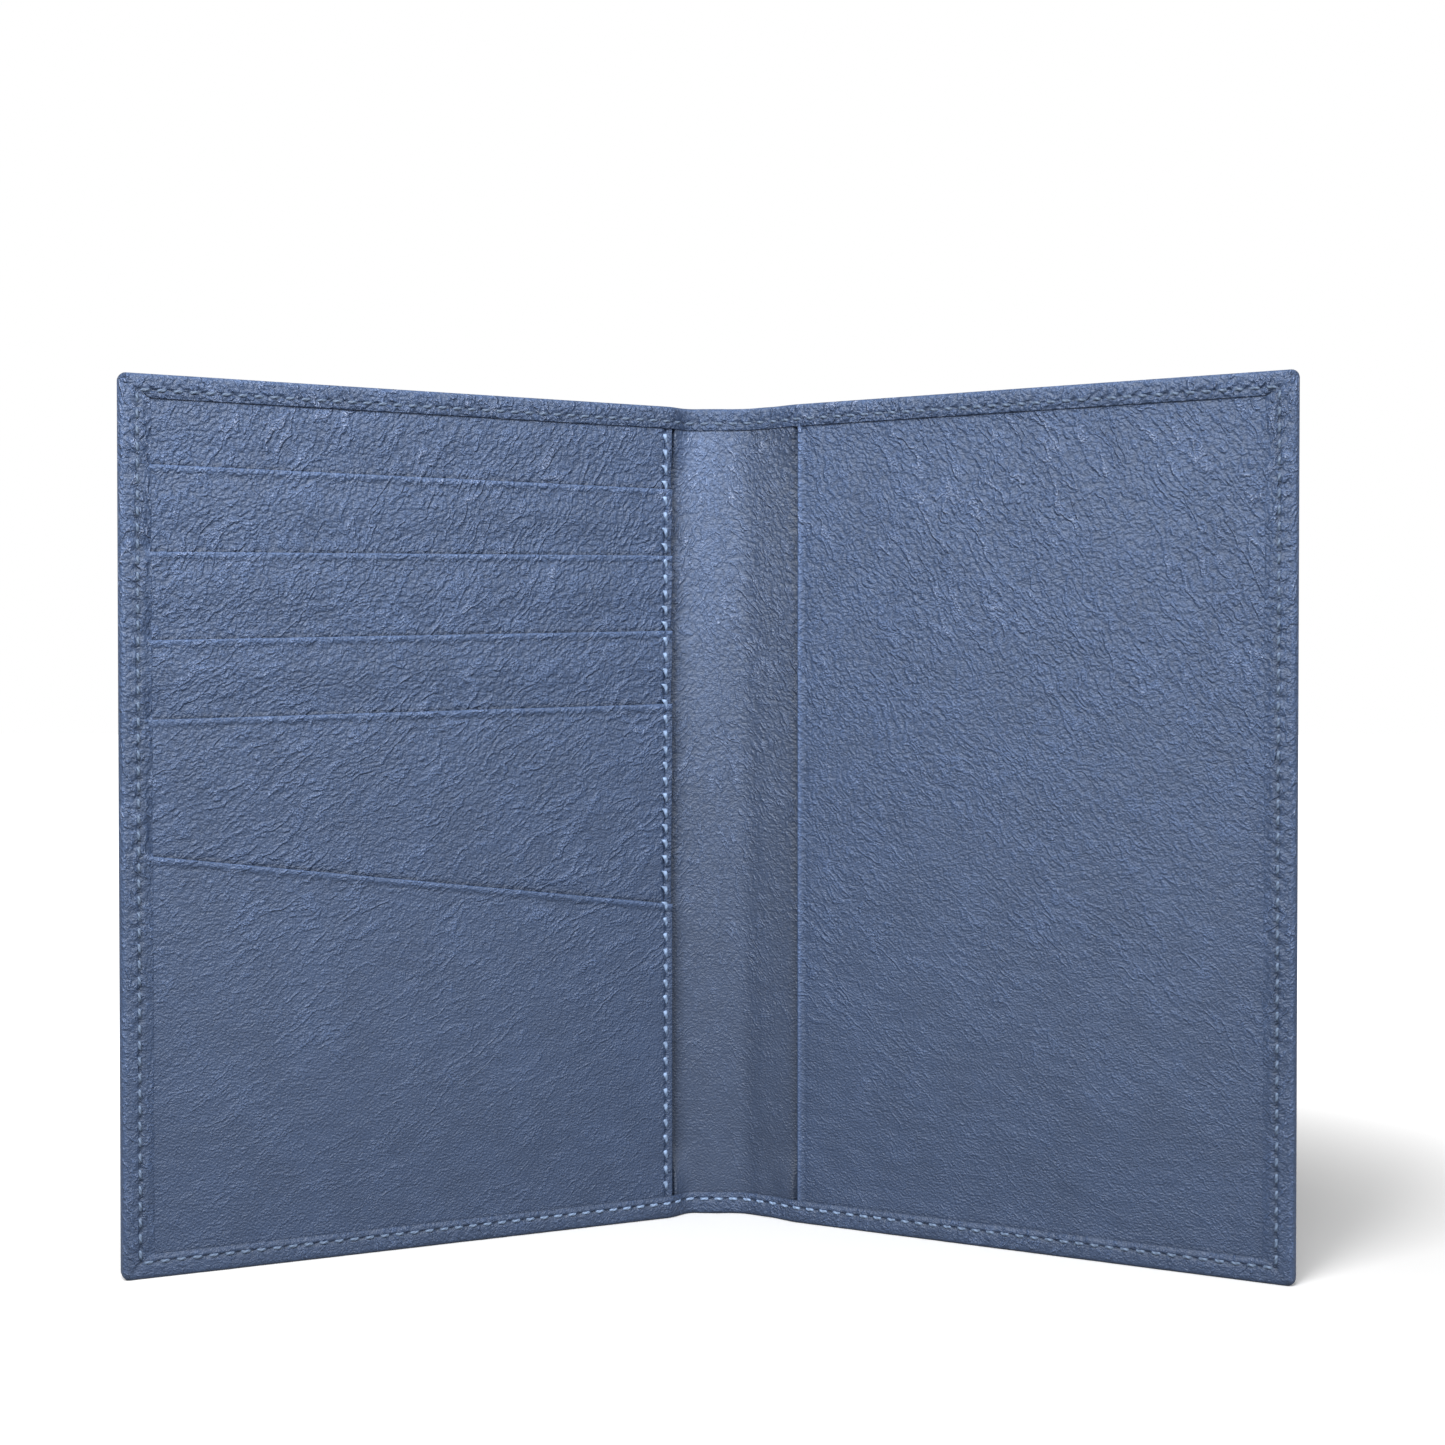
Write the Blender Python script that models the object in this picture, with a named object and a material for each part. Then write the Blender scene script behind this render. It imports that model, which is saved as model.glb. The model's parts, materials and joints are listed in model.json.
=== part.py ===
"""Bifold leather passport holder with a card panel, stood open on its bottom edge.

Three rigid bodies carry the pieces: the spine strip and the two covers, which
fold on vertical crease lines. Each cover is built in its own crease frame:
u runs from the crease to the fore edge, w runs from the inside face to the
back, and z runs up. w = 0 is the inside face of the spine's turned edge.
"""

import math

import bmesh
import bpy
import numpy as np

MM = 0.001

# Overall size, standing open.
HEIGHT = 140 * MM
COVER_REACH = 95 * MM
SPINE_WIDTH = 10 * MM
REST_FOLD = math.radians(25.4)
BODY_GAP = 0.15 * MM

# Turned edges of the outer leather.
FLAT_LIP = 3.8 * MM
FORE_LIP = 4.9 * MM
LIP_THICK = 0.5 * MM
EDGE_WALL = 0.6 * MM
CORNER_RADIUS = 1.5 * MM
FOLD_RADIUS = 0.3 * MM

# Depths of the layers, from the inside face to the back.
LINING_FRONT = 0.6 * MM
LINING_BACK = 1.0 * MM
BOARD_FRONT = 1.1 * MM
BOARD_BACK = 1.6 * MM
COVER_LEATHER_FRONT = 1.7 * MM
COVER_LEATHER_BACK = 2.6 * MM
SPINE_LEATHER_FRONT = 1.1 * MM
SPINE_LEATHER_BACK = 2.0 * MM

# Card panel on the left cover.
PANEL_EDGE = 2.4 * MM
PANEL_FORE_END = 94.0 * MM
PANEL_BOTTOM = 1.0 * MM
PANEL_TOP = HEIGHT - PANEL_BOTTOM
PANEL_RISE = 2.05 * MM
PANEL_STEP_START = 0.9 * MM
PANEL_STEP_END = 1.9 * MM
BACKING_FRONT = 0.2 * MM
BACKING_BACK = 0.5 * MM
LEAF_THICK = 0.4 * MM
LEAF_OUTER_LEVEL = -1.5 * MM
LEAF_INNER_LEVEL = -0.9 * MM
LEAF_FLAT = 7.0 * MM
LEAF_TUCK = 6.0 * MM
LEAF_CLEAR = 1.0 * MM
POCKET_TUCK = 8.0 * MM
CLOTH_THICK = 0.1 * MM
CLOTH_LEVEL = -1.05 * MM
CLOTH_DEEP = 0.0 * MM
CLOTH_STEP = 0.15 * MM
CLOTH_START = 1.0 * MM
CLOTH_FLAT = 6.3 * MM
CLOTH_SETTLED = 9.9 * MM
CLOTH_DEPTH = 50.0 * MM
CLOTH_SIDE = 0.3 * MM

# Height of each opening edge below the top: at the fore edge, then at the spine.
SLOT_EDGES = (
    (13.9 * MM, 14.2 * MM),
    (27.5 * MM, 25.6 * MM),
    (41.2 * MM, 38.5 * MM),
    (53.5 * MM, 51.1 * MM),
)
POCKET_EDGE = (74.0 * MM, 85.7 * MM)

# Sleeve flap on the right cover.
FLAP_EDGE = 11.0 * MM
FLAP_HEM = 6.0 * MM
FLAP_HEM_TAPER = 0.5 * MM
FLAP_FRONT = -0.5 * MM
FLAP_BACK = -0.05 * MM
FLAP_HEM_BACK = 0.45 * MM
FLAP_RISE = 1.1 * MM
FLAP_STEP_START = 9.6 * MM
FLAP_STEP_END = 10.4 * MM

# Sewing thread.
THREAD_RADIUS = 0.2 * MM
THREAD_LIFT = 0.25 * MM
THREAD_SIDES = 1
SEAM_FROM_FORE_EDGE = 3.1 * MM
SEAM_FROM_FLAT_EDGE = 2.4 * MM
SEAM_START = 0.55 * MM
SEAM_STEP_LEAD = 0.25 * MM
SEAM_STEP_TOP = 0.35 * MM
PANEL_SEAM_INSET = 1.3 * MM
PANEL_SEAM_END = 0.4 * MM

LINING_SIDE = 0.3 * MM
LINING_FORE_END = 94.0 * MM
LINING_BOTTOM = 1.0 * MM
BOARD_SIDE = 1.0 * MM
BOARD_FORE_END = 93.8 * MM
BOARD_BOTTOM = 1.0 * MM
BOARD_CORNER = 1.0 * MM
PAST = 1.0 * MM

LEFT = -1
RIGHT = 1

BLUE_LEATHER = ((0.125, 0.165, 0.255, 1.0), 0.55)
INNER_LEATHER = ((0.135, 0.178, 0.275, 1.0), 0.6)
SUEDE_LINING = ((0.115, 0.150, 0.230, 1.0), 0.9)
BOARD_GREY = ((0.38, 0.36, 0.33, 1.0), 0.9)
CLOTH_BLUE = ((0.060, 0.075, 0.120, 1.0), 0.85)
THREAD_BLUE = ((0.240, 0.300, 0.430, 1.0), 0.7)


def clear_scene():
    for obj in list(bpy.data.objects):
        bpy.data.objects.remove(obj, do_unlink=True)


def finish_of(name, look):
    color, roughness = look
    material = bpy.data.materials.new(name)
    material.use_nodes = True
    shader = material.node_tree.nodes["Principled BSDF"]
    shader.inputs["Base Color"].default_value = color
    shader.inputs["Roughness"].default_value = roughness
    shader.inputs["Metallic"].default_value = 0.0
    material.diffuse_color = color
    return material


def place(obj, parent, look):
    obj.parent = parent
    obj.data.materials.append(finish_of(obj.name, look))
    bpy.context.collection.objects.link(obj)
    return obj


def mesh_object(name, bm, parent, look):
    bmesh.ops.recalc_face_normals(bm, faces=bm.faces)
    mesh = bpy.data.meshes.new(name)
    bm.to_mesh(mesh)
    bm.free()
    return place(bpy.data.objects.new(name, mesh), parent, look)


def empty(name, parent=None, location=(0.0, 0.0, 0.0), turn=0.0):
    obj = bpy.data.objects.new(name, None)
    obj.parent = parent
    obj.location = location
    obj.rotation_euler.z = turn
    obj.empty_display_size = 10 * MM
    bpy.context.collection.objects.link(obj)
    return obj


def loft(near, far):
    """A closed mesh between two outlines of the same length, with flat ends."""
    bm = bmesh.new()
    first = [bm.verts.new(point) for point in near]
    last = [bm.verts.new(point) for point in far]
    bm.faces.new(first)
    bm.faces.new(last)
    for i in range(len(first)):
        j = (i + 1) % len(first)
        bm.faces.new((first[i], first[j], last[j], last[i]))
    bmesh.ops.recalc_face_normals(bm, faces=bm.faces)
    return bm


def upright(side, outline, bottom, top):
    """Extrude a (u, w) outline from bottom to top."""
    near = [(side * u, w, bottom) for u, w in outline]
    far = [(side * u, w, top) for u, w in outline]
    return loft(near, far)


def across(side, start, start_outline, end, end_outline):
    """Loft between two (z, w) outlines that stand at u = start and u = end."""
    near = [(side * start, w, z) for z, w in start_outline]
    far = [(side * end, w, z) for z, w in end_outline]
    return loft(near, far)


def rectangle(low_u, high_u, front, back):
    return [(low_u, front), (high_u, front), (high_u, back), (low_u, back)]


def round_corners(bm, fore_u, radius, segments):
    """Round the edges that run from front to back at the fore edge."""
    corners = []
    for edge in bm.edges:
        a, b = edge.verts
        at_fore_edge = abs(abs(a.co.x) - fore_u) < 1e-7 and abs(abs(b.co.x) - fore_u) < 1e-7
        if at_fore_edge and abs(a.co.z - b.co.z) < 1e-7:
            corners.append(edge)
    bmesh.ops.bevel(bm, geom=corners, offset=radius, segments=segments, profile=0.5, affect="EDGES")


def round_folds(bm, keep_u, radius):
    """Round the folded rim, leaving the cut face at u = keep_u square."""
    rim = []
    for edge in bm.edges:
        on_cut = [abs(abs(v.co.x) - keep_u) < 1e-7 for v in edge.verts]
        if any(on_cut) or len(edge.link_faces) != 2:
            continue
        if edge.calc_face_angle() > math.radians(80):
            rim.append(edge)
    bmesh.ops.bevel(bm, geom=rim, offset=radius, segments=2, profile=0.5, affect="EDGES")


def cut_away(obj, name, bm):
    """Subtract a hidden cutter, in the frame of the object that it cuts."""
    bmesh.ops.recalc_face_normals(bm, faces=bm.faces)
    mesh = bpy.data.meshes.new(name)
    bm.to_mesh(mesh)
    bm.free()
    cutter = bpy.data.objects.new(name, mesh)
    cutter.parent = obj.parent
    cutter.hide_render = True
    cutter.display_type = "WIRE"
    bpy.context.collection.objects.link(cutter)
    modifier = obj.modifiers.new(name, "BOOLEAN")
    modifier.operation = "DIFFERENCE"
    modifier.solver = "EXACT"
    modifier.object = cutter


def cover_leather(name, crease, side, rise, step_start, step_end):
    """Outer leather of one cover: back sheet, edge walls and turned lips in one.

    The lips climb by rise, between step_start and step_end, onto the panel.
    """
    outside = [
        (BODY_GAP, 0.0),
        (step_start, 0.0),
        (step_end, -rise),
        (COVER_REACH, -rise),
        (COVER_REACH, COVER_LEATHER_BACK),
        (BODY_GAP, COVER_LEATHER_BACK),
    ]
    step_wall = 0.9 * LIP_THICK
    inside = [
        (-PAST, LIP_THICK),
        (step_start + step_wall, LIP_THICK),
        (step_end + step_wall, LIP_THICK - rise),
        (COVER_REACH - EDGE_WALL, LIP_THICK - rise),
        (COVER_REACH - EDGE_WALL, COVER_LEATHER_FRONT),
        (-PAST, COVER_LEATHER_FRONT),
    ]
    window = rectangle(-PAST, COVER_REACH - FORE_LIP, -rise - PAST, LINING_BACK)
    body = upright(side, outside, 0.0, HEIGHT)
    round_corners(body, COVER_REACH, CORNER_RADIUS, 4)
    round_folds(body, BODY_GAP, FOLD_RADIUS)
    leather = mesh_object(name, body, crease, BLUE_LEATHER)
    hollow = upright(side, inside, EDGE_WALL, HEIGHT - EDGE_WALL)
    round_corners(hollow, COVER_REACH - EDGE_WALL, CORNER_RADIUS - EDGE_WALL, 4)
    cut_away(leather, name + "_hollow", hollow)
    cut_away(leather, name + "_window", upright(side, window, FLAT_LIP, HEIGHT - FLAT_LIP))
    return leather


def spine_leather(frame):
    """Outer leather of the spine strip, with its turned lips at both ends."""
    half = SPINE_WIDTH / 2 - BODY_GAP
    past = SPINE_WIDTH / 2 + PAST
    body = upright(RIGHT, rectangle(-half, half, 0.0, SPINE_LEATHER_BACK), 0.0, HEIGHT)
    round_folds(body, half, FOLD_RADIUS)
    leather = mesh_object("outer_leather_spine", body, frame, BLUE_LEATHER)
    hollow = rectangle(-past, past, LIP_THICK, SPINE_LEATHER_FRONT)
    window = rectangle(-past, past, -PAST, LINING_BACK)
    cut_away(leather, "spine_hollow", upright(RIGHT, hollow, EDGE_WALL, HEIGHT - EDGE_WALL))
    cut_away(leather, "spine_window", upright(RIGHT, window, FLAT_LIP, HEIGHT - FLAT_LIP))
    return leather


def lining(name, frame, side, start, end):
    outline = rectangle(start, end, LINING_FRONT, LINING_BACK)
    body = upright(side, outline, LINING_BOTTOM, HEIGHT - LINING_BOTTOM)
    return mesh_object(name, body, frame, SUEDE_LINING)


def stiffener(name, crease, side):
    """Thin board that keeps one cover flat."""
    outline = rectangle(BOARD_SIDE, BOARD_FORE_END, BOARD_FRONT, BOARD_BACK)
    body = upright(side, outline, BOARD_BOTTOM, HEIGHT - BOARD_BOTTOM)
    round_corners(body, BOARD_FORE_END, BOARD_CORNER, 3)
    return mesh_object(name, body, crease, BOARD_GREY)


def panel_backing(crease):
    outline = rectangle(PANEL_EDGE, PANEL_FORE_END, BACKING_FRONT, BACKING_BACK)
    body = upright(LEFT, outline, PANEL_BOTTOM, PANEL_TOP)
    return mesh_object("panel_backing", body, crease, INNER_LEATHER)


def leaf_outline(top, next_top, tuck):
    """(z, w) outline of a leaf: proud at its own edge, tucked behind the next one."""
    settle = next_top + LEAF_CLEAR
    flat = top - LEAF_FLAT
    bottom = next_top - tuck
    outer = LEAF_OUTER_LEVEL
    inner = LEAF_INNER_LEVEL
    front = [(top, outer), (flat, outer), (settle, inner), (bottom, inner)]
    back = [(z, w + LEAF_THICK) for z, w in reversed(front)]
    return front + back


def leaf(name, crease, top, next_top, tuck):
    """One leather leaf. top and next_top hold heights at the fore edge and the spine."""
    at_fore_edge = leaf_outline(top[0], next_top[0], tuck)
    at_spine = leaf_outline(top[1], next_top[1], tuck)
    body = across(LEFT, PANEL_EDGE, at_spine, PANEL_FORE_END, at_fore_edge)
    return mesh_object(name, body, crease, INNER_LEATHER)


def card_leaves(crease, slots, pocket):
    """The header strip and the four leaves that form the card slots."""
    tops = [(PANEL_TOP, PANEL_TOP)] + slots
    nexts = slots + [pocket]
    names = ["panel_header"] + ["slot_leaf_%d" % (i + 1) for i in range(len(slots))]
    for name, top, next_top in zip(names, tops, nexts):
        tuck = POCKET_TUCK if next_top is pocket else LEAF_TUCK
        leaf(name, crease, top, next_top, tuck)


def slot_cloth(name, crease, top, deep):
    """Thin cloth behind one leaf, which the card slides behind."""

    def outline(edge):
        front = [
            (edge - CLOTH_START, CLOTH_LEVEL),
            (edge - CLOTH_FLAT, CLOTH_LEVEL),
            (edge - CLOTH_SETTLED, deep),
            (edge - CLOTH_DEPTH, deep),
        ]
        back = [(z, w + CLOTH_THICK) for z, w in reversed(front)]
        return front + back

    start = PANEL_EDGE + CLOTH_SIDE
    end = PANEL_FORE_END - CLOTH_SIDE
    body = across(LEFT, start, outline(top[1]), end, outline(top[0]))
    return mesh_object(name, body, crease, CLOTH_BLUE)


def slanted_pocket(crease, pocket):
    """Large lower pocket, whose opening edge slants down towards the spine."""

    def outline(edge):
        back = LEAF_OUTER_LEVEL + LEAF_THICK
        corners = [(edge, LEAF_OUTER_LEVEL), (PANEL_BOTTOM, LEAF_OUTER_LEVEL)]
        return corners + [(PANEL_BOTTOM, back), (edge, back)]

    body = across(LEFT, PANEL_EDGE, outline(pocket[1]), PANEL_FORE_END, outline(pocket[0]))
    return mesh_object("slanted_pocket", body, crease, INNER_LEATHER)


def card_panel(crease):
    slots = [(HEIGHT - fore, HEIGHT - spine) for fore, spine in SLOT_EDGES]
    pocket = (HEIGHT - POCKET_EDGE[0], HEIGHT - POCKET_EDGE[1])
    panel_backing(crease)
    card_leaves(crease, slots, pocket)
    for i, top in enumerate(slots):
        slot_cloth("slot_lining_%d" % (i + 1), crease, top, CLOTH_DEEP - i * CLOTH_STEP)
    slanted_pocket(crease, pocket)


def sleeve_flap(crease):
    """Leather sleeve of the right cover, hemmed along its free edge."""
    hem_end = FLAP_EDGE + FLAP_HEM
    outline = [
        (FLAP_EDGE, FLAP_FRONT),
        (PANEL_FORE_END, FLAP_FRONT),
        (PANEL_FORE_END, FLAP_BACK),
        (hem_end + FLAP_HEM_TAPER, FLAP_BACK),
        (hem_end, FLAP_HEM_BACK),
        (FLAP_EDGE, FLAP_HEM_BACK),
    ]
    body = upright(RIGHT, outline, PANEL_BOTTOM, PANEL_TOP)
    return mesh_object("sleeve_flap", body, crease, INNER_LEATHER)


def thread(name, frame, points):
    """A line of sewing thread along a route of straight runs."""
    curve = bpy.data.curves.new(name, "CURVE")
    curve.dimensions = "3D"
    curve.bevel_depth = THREAD_RADIUS
    curve.bevel_resolution = THREAD_SIDES
    curve.use_fill_caps = True
    spline = curve.splines.new("POLY")
    spline.points.add(len(points) - 1)
    for knot, point in zip(spline.points, points):
        knot.co = (*point, 1.0)
    return place(bpy.data.objects.new(name, curve), frame, THREAD_BLUE)


def edge_seam(name, crease, side, run):
    """Thread round three edges of a cover, along a (u, w) run and back."""
    low = [(side * u, w, SEAM_FROM_FLAT_EDGE) for u, w in run]
    high = [(side * u, w, HEIGHT - SEAM_FROM_FLAT_EDGE) for u, w in reversed(run)]
    return thread(name, crease, low + high)


def cover_seams(word, crease, side, rise, step_start, step_end):
    """Needle thread on the outside of a cover and bobbin thread on its inside."""
    fore = COVER_REACH - SEAM_FROM_FORE_EDGE
    back = COVER_LEATHER_BACK + THREAD_LIFT
    edge_seam("needle_thread_" + word, crease, side, [(SEAM_START, back), (fore, back)])
    inside = [
        (SEAM_START, -THREAD_LIFT),
        (step_start - SEAM_STEP_LEAD, -THREAD_LIFT),
        (step_end - SEAM_STEP_TOP, -rise - THREAD_LIFT),
        (fore, -rise - THREAD_LIFT),
    ]
    edge_seam("bobbin_thread_" + word, crease, side, inside)


def spine_seams(frame):
    """The four short seams that close the spine's top and bottom edges."""
    half = SPINE_WIDTH / 2 - 2 * BODY_GAP
    heights = {"top": HEIGHT - SEAM_FROM_FLAT_EDGE, "bottom": SEAM_FROM_FLAT_EDGE}
    depths = {"needle": SPINE_LEATHER_BACK + THREAD_LIFT, "bobbin": -THREAD_LIFT}
    for end, z in heights.items():
        for kind, w in depths.items():
            name = "%s_thread_spine_%s" % (kind, end)
            thread(name, frame, [(-half, w, z), (half, w, z)])


def panel_seam(crease):
    """Thread that closes the slots along the panel's free edge."""
    u = PANEL_EDGE + PANEL_SEAM_INSET
    w = LEAF_OUTER_LEVEL - THREAD_LIFT
    low = FLAT_LIP + PANEL_SEAM_END
    thread("panel_seam_thread", crease, [(-u, w, low), (-u, w, HEIGHT - low)])


def build_spine(root):
    frame = empty("spine_frame", root)
    half = SPINE_WIDTH / 2 - BODY_GAP
    spine_leather(frame)
    lining("lining_spine", frame, RIGHT, -half, half)
    spine_seams(frame)


def build_left_cover(root):
    crease = empty("left_crease", root, (-SPINE_WIDTH / 2, 0.0, 0.0), REST_FOLD)
    step = (PANEL_RISE, PANEL_STEP_START, PANEL_STEP_END)
    cover_leather("outer_leather_left", crease, LEFT, *step)
    stiffener("stiffener_left", crease, LEFT)
    lining("lining_left", crease, LEFT, LINING_SIDE, LINING_FORE_END)
    card_panel(crease)
    cover_seams("left", crease, LEFT, *step)
    panel_seam(crease)


def build_right_cover(root):
    crease = empty("right_crease", root, (SPINE_WIDTH / 2, 0.0, 0.0), -REST_FOLD)
    step = (FLAP_RISE, FLAP_STEP_START, FLAP_STEP_END)
    cover_leather("outer_leather_right", crease, RIGHT, *step)
    stiffener("stiffener_right", crease, RIGHT)
    lining("lining_right", crease, RIGHT, LINING_SIDE, LINING_FORE_END)
    sleeve_flap(crease)
    cover_seams("right", crease, RIGHT, *step)


def centre_on_origin(root):
    """Move the holder so that the middle of its footprint is the world origin."""
    bpy.context.view_layer.update()
    graph = bpy.context.evaluated_depsgraph_get()
    corners = []
    for obj in bpy.context.scene.objects:
        if obj.hide_render or obj.type == "EMPTY":
            continue
        evaluated = obj.evaluated_get(graph)
        mesh = evaluated.to_mesh()
        points = np.array([evaluated.matrix_world @ vertex.co for vertex in mesh.vertices])
        corners.append(points.min(axis=0))
        corners.append(points.max(axis=0))
        evaluated.to_mesh_clear()
    middle = (np.min(corners, axis=0) + np.max(corners, axis=0)) / 2
    root.location.x -= middle[0]
    root.location.y -= middle[1]


def main():
    clear_scene()
    root = empty("holder_origin")
    build_spine(root)
    build_left_cover(root)
    build_right_cover(root)
    centre_on_origin(root)


main()
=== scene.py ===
"""Looks of a bifold leather passport holder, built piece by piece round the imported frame.

Each cover is described in its own terms: s runs from the middle of the spine to
the fore edge along the inside face, w runs from the inside face to the back,
and z runs up. place() turns those into positions in the frame, bent at the crease.
"""

import json
import math

import bmesh
import bpy
import numpy as np
from bpy.props import FloatProperty, FloatVectorProperty, IntProperty, PointerProperty
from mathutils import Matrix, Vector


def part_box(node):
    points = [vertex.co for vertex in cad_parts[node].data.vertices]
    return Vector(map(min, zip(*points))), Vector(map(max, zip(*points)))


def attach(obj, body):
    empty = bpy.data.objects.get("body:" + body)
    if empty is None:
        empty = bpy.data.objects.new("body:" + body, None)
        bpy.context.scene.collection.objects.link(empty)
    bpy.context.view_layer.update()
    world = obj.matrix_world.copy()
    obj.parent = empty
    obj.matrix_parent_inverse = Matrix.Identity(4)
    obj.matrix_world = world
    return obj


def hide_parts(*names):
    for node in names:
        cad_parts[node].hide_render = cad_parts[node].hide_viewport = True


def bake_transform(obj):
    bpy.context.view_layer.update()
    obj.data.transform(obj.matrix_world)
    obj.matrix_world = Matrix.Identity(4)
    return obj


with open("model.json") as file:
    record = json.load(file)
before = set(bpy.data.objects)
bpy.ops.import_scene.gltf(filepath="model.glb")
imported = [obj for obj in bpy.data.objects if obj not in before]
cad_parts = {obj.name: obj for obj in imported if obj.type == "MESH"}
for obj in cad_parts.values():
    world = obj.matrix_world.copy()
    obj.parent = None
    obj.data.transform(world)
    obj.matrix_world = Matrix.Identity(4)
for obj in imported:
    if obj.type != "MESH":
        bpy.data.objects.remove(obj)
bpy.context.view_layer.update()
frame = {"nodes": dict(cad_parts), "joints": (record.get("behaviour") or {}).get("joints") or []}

bl_info = {
    "name": "Passport Holder",
    "version": (1, 0, 0),
    "blender": (4, 5, 0),
    "location": "3D View > Sidebar > Passport Holder",
    "description": "Builds a stitched bifold leather passport holder with card slots",
    "category": "Add Mesh",
}

MM = 0.001
LEFT = -1
RIGHT = 1
COVER = {LEFT: "left_cover", RIGHT: "right_cover"}
WORD = {LEFT: "left", RIGHT: "right"}
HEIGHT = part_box("outer_leather_spine")[1].z
CREASE = {}
for joint in frame["joints"]:
    side = LEFT if joint["child"] == COVER[LEFT] else RIGHT
    CREASE[side] = {
        "half": abs(joint["pos_m"][0]),
        "y": joint["pos_m"][1],
        "fold": -math.radians(joint["range_deg"][0]),
    }
HALF_SPINE = CREASE[LEFT]["half"]

# Depths of the layers and the ends of the panels, as the frame has them.
BACK_COVER = 2.6 * MM
BACK_SPINE = 2.0 * MM
LINING_FRONT = 0.6 * MM
LINING_THICK = 0.4 * MM
PANEL_EDGE = HALF_SPINE + 2.4 * MM
PANEL_END = HALF_SPINE + 94.0 * MM
PANEL_MARGIN = 1.0 * MM
LEAF_OUTER = -1.5 * MM
LEAF_INNER = -0.9 * MM
LEAF_THICK = 0.4 * MM
LEAF_FLAT = 4.5 * MM
LEAF_TUCK = 6.0 * MM
POCKET_TUCK = 8.0 * MM
PANEL_MESH = 0.336 * MM
LEAF_CLEAR = 1.0 * MM
LIP_RISE = {LEFT: 2.05 * MM, RIGHT: 1.1 * MM}
LIP_OVER = 0.45 * MM
LIP_CLIMB = {LEFT: (-2.4 * MM, 3.0 * MM), RIGHT: (5.0 * MM, 11.6 * MM)}
FLAP_EDGE = HALF_SPINE + 11.0 * MM
FLAP_FRONT = -0.5 * MM
FLAP_HEM = 6.0 * MM
FLAP_HEM_THICK = 0.95 * MM
FLAP_THICK = 0.45 * MM
BACKING_FRONT = 0.2 * MM
BACKING_THICK = 0.3 * MM
CLOTH_LEVEL = -1.05 * MM
CLOTH_THICK = 0.1 * MM
CLOTH_STEP = 0.15 * MM
CLOTH_START = 1.0 * MM
CLOTH_FLAT = 3.8 * MM
CLOTH_SETTLED = 9.9 * MM
CLOTH_DEPTH = 50.0 * MM
CLOTH_SIDE = 0.3 * MM

# Millimetres from the top to each opening edge, at the panel's fore end and at its free edge.
SLOT_EDGES = ((13.9, 14.2), (27.5, 25.6), (41.2, 38.5), (53.5, 51.1))
POCKET_EDGE = (74.0, 85.7)

# Counts along one cover's seam: stitches, then fine mesh stations in each.
FLAT_STITCHES = 39
FORE_STITCHES = 54
STATIONS = 8
PATCH_SKIP = 4
CORNER_STEPS = 5

# One stitch: its mesh, and the share of the pitch where it starts and that it spans.
STITCH_STEPS = 11
STITCH_SIDES = 8
STITCH_START = 0.19
STITCH_SPAN = 0.62
STITCH_PITCH = 2.5 * MM

# Seeds of the leather's unevenness.
HIDE_SEED = 11
LEAF_SEED = 21
POCKET_SEED = 31
BACKING_SEED = 32
CLOTH_SEED = 40
SLEEVE_SEED = 51
LINING_SEED = 61

# Where the texture map of a sheet's back lies, so that it doesn't repeat the front.
BACK_MAP = (0.31, 0.17)

# Heights over which the grain grows from calm to lively, and the thread's turns in each metre.
CALM_FADE = (0.005, 0.125)
PLY_TURNS = (7000.0, 9000.0)

# The floor glows white to the camera round this centre, growing between these two distances: a painted light
# that also fades the cast shadow's far end.
FLOOR_CENTRE = (0.03, -0.02, 0.0)
FLOOR_FADE = (0.08, 0.235)
FLOOR_BOUNCE = 0.3


# ---------------------------------------------------------------- properties


class HolderSizes(bpy.types.PropertyGroup):
    cover_reach: FloatProperty(
        name="Cover reach", description="Middle of the spine to the fore edge", default=0.0995, unit="LENGTH")
    bend: FloatProperty(
        name="Bend", description="Half the leather that bends at a crease", default=0.0042, unit="LENGTH")
    flat_lip: FloatProperty(
        name="Top and bottom lip", description="Width of the turned edge", default=0.0038, unit="LENGTH")
    fore_lip: FloatProperty(
        name="Fore-edge lip", description="Width of the turned edge", default=0.0049, unit="LENGTH")
    flat_seam: FloatProperty(
        name="Top and bottom seam", description="Seam to the edge", default=0.0026, unit="LENGTH")
    fore_seam: FloatProperty(
        name="Fore-edge seam", description="Seam to the edge", default=0.0026, unit="LENGTH")
    corner: FloatProperty(
        name="Corner radius", description="Radius of the cover's corners", default=0.001, unit="LENGTH")
    edge_round: FloatProperty(
        name="Inner rounding", description="Radius of the turned edge inside", default=0.0008, unit="LENGTH")
    back_round: FloatProperty(
        name="Outer rounding", description="Radius of the turned edge outside", default=0.0016, unit="LENGTH")
    groove: FloatProperty(
        name="Seam groove", description="How far a seam pulls in", default=0.00022, unit="LENGTH")
    ripple: FloatProperty(
        name="Ripple", description="Height of the leather's unevenness", default=0.00003, unit="LENGTH")
    thread: FloatProperty(
        name="Thread", description="Radius of the sewing thread", default=0.00025, unit="LENGTH")
    panel_seam: FloatProperty(
        name="Panel seam", description="Seam to the card panel's free edge", default=0.0013, unit="LENGTH")
    panel_stitches: IntProperty(
        name="Panel stitches", description="Stitches along the card panel's free edge", default=49)


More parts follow.
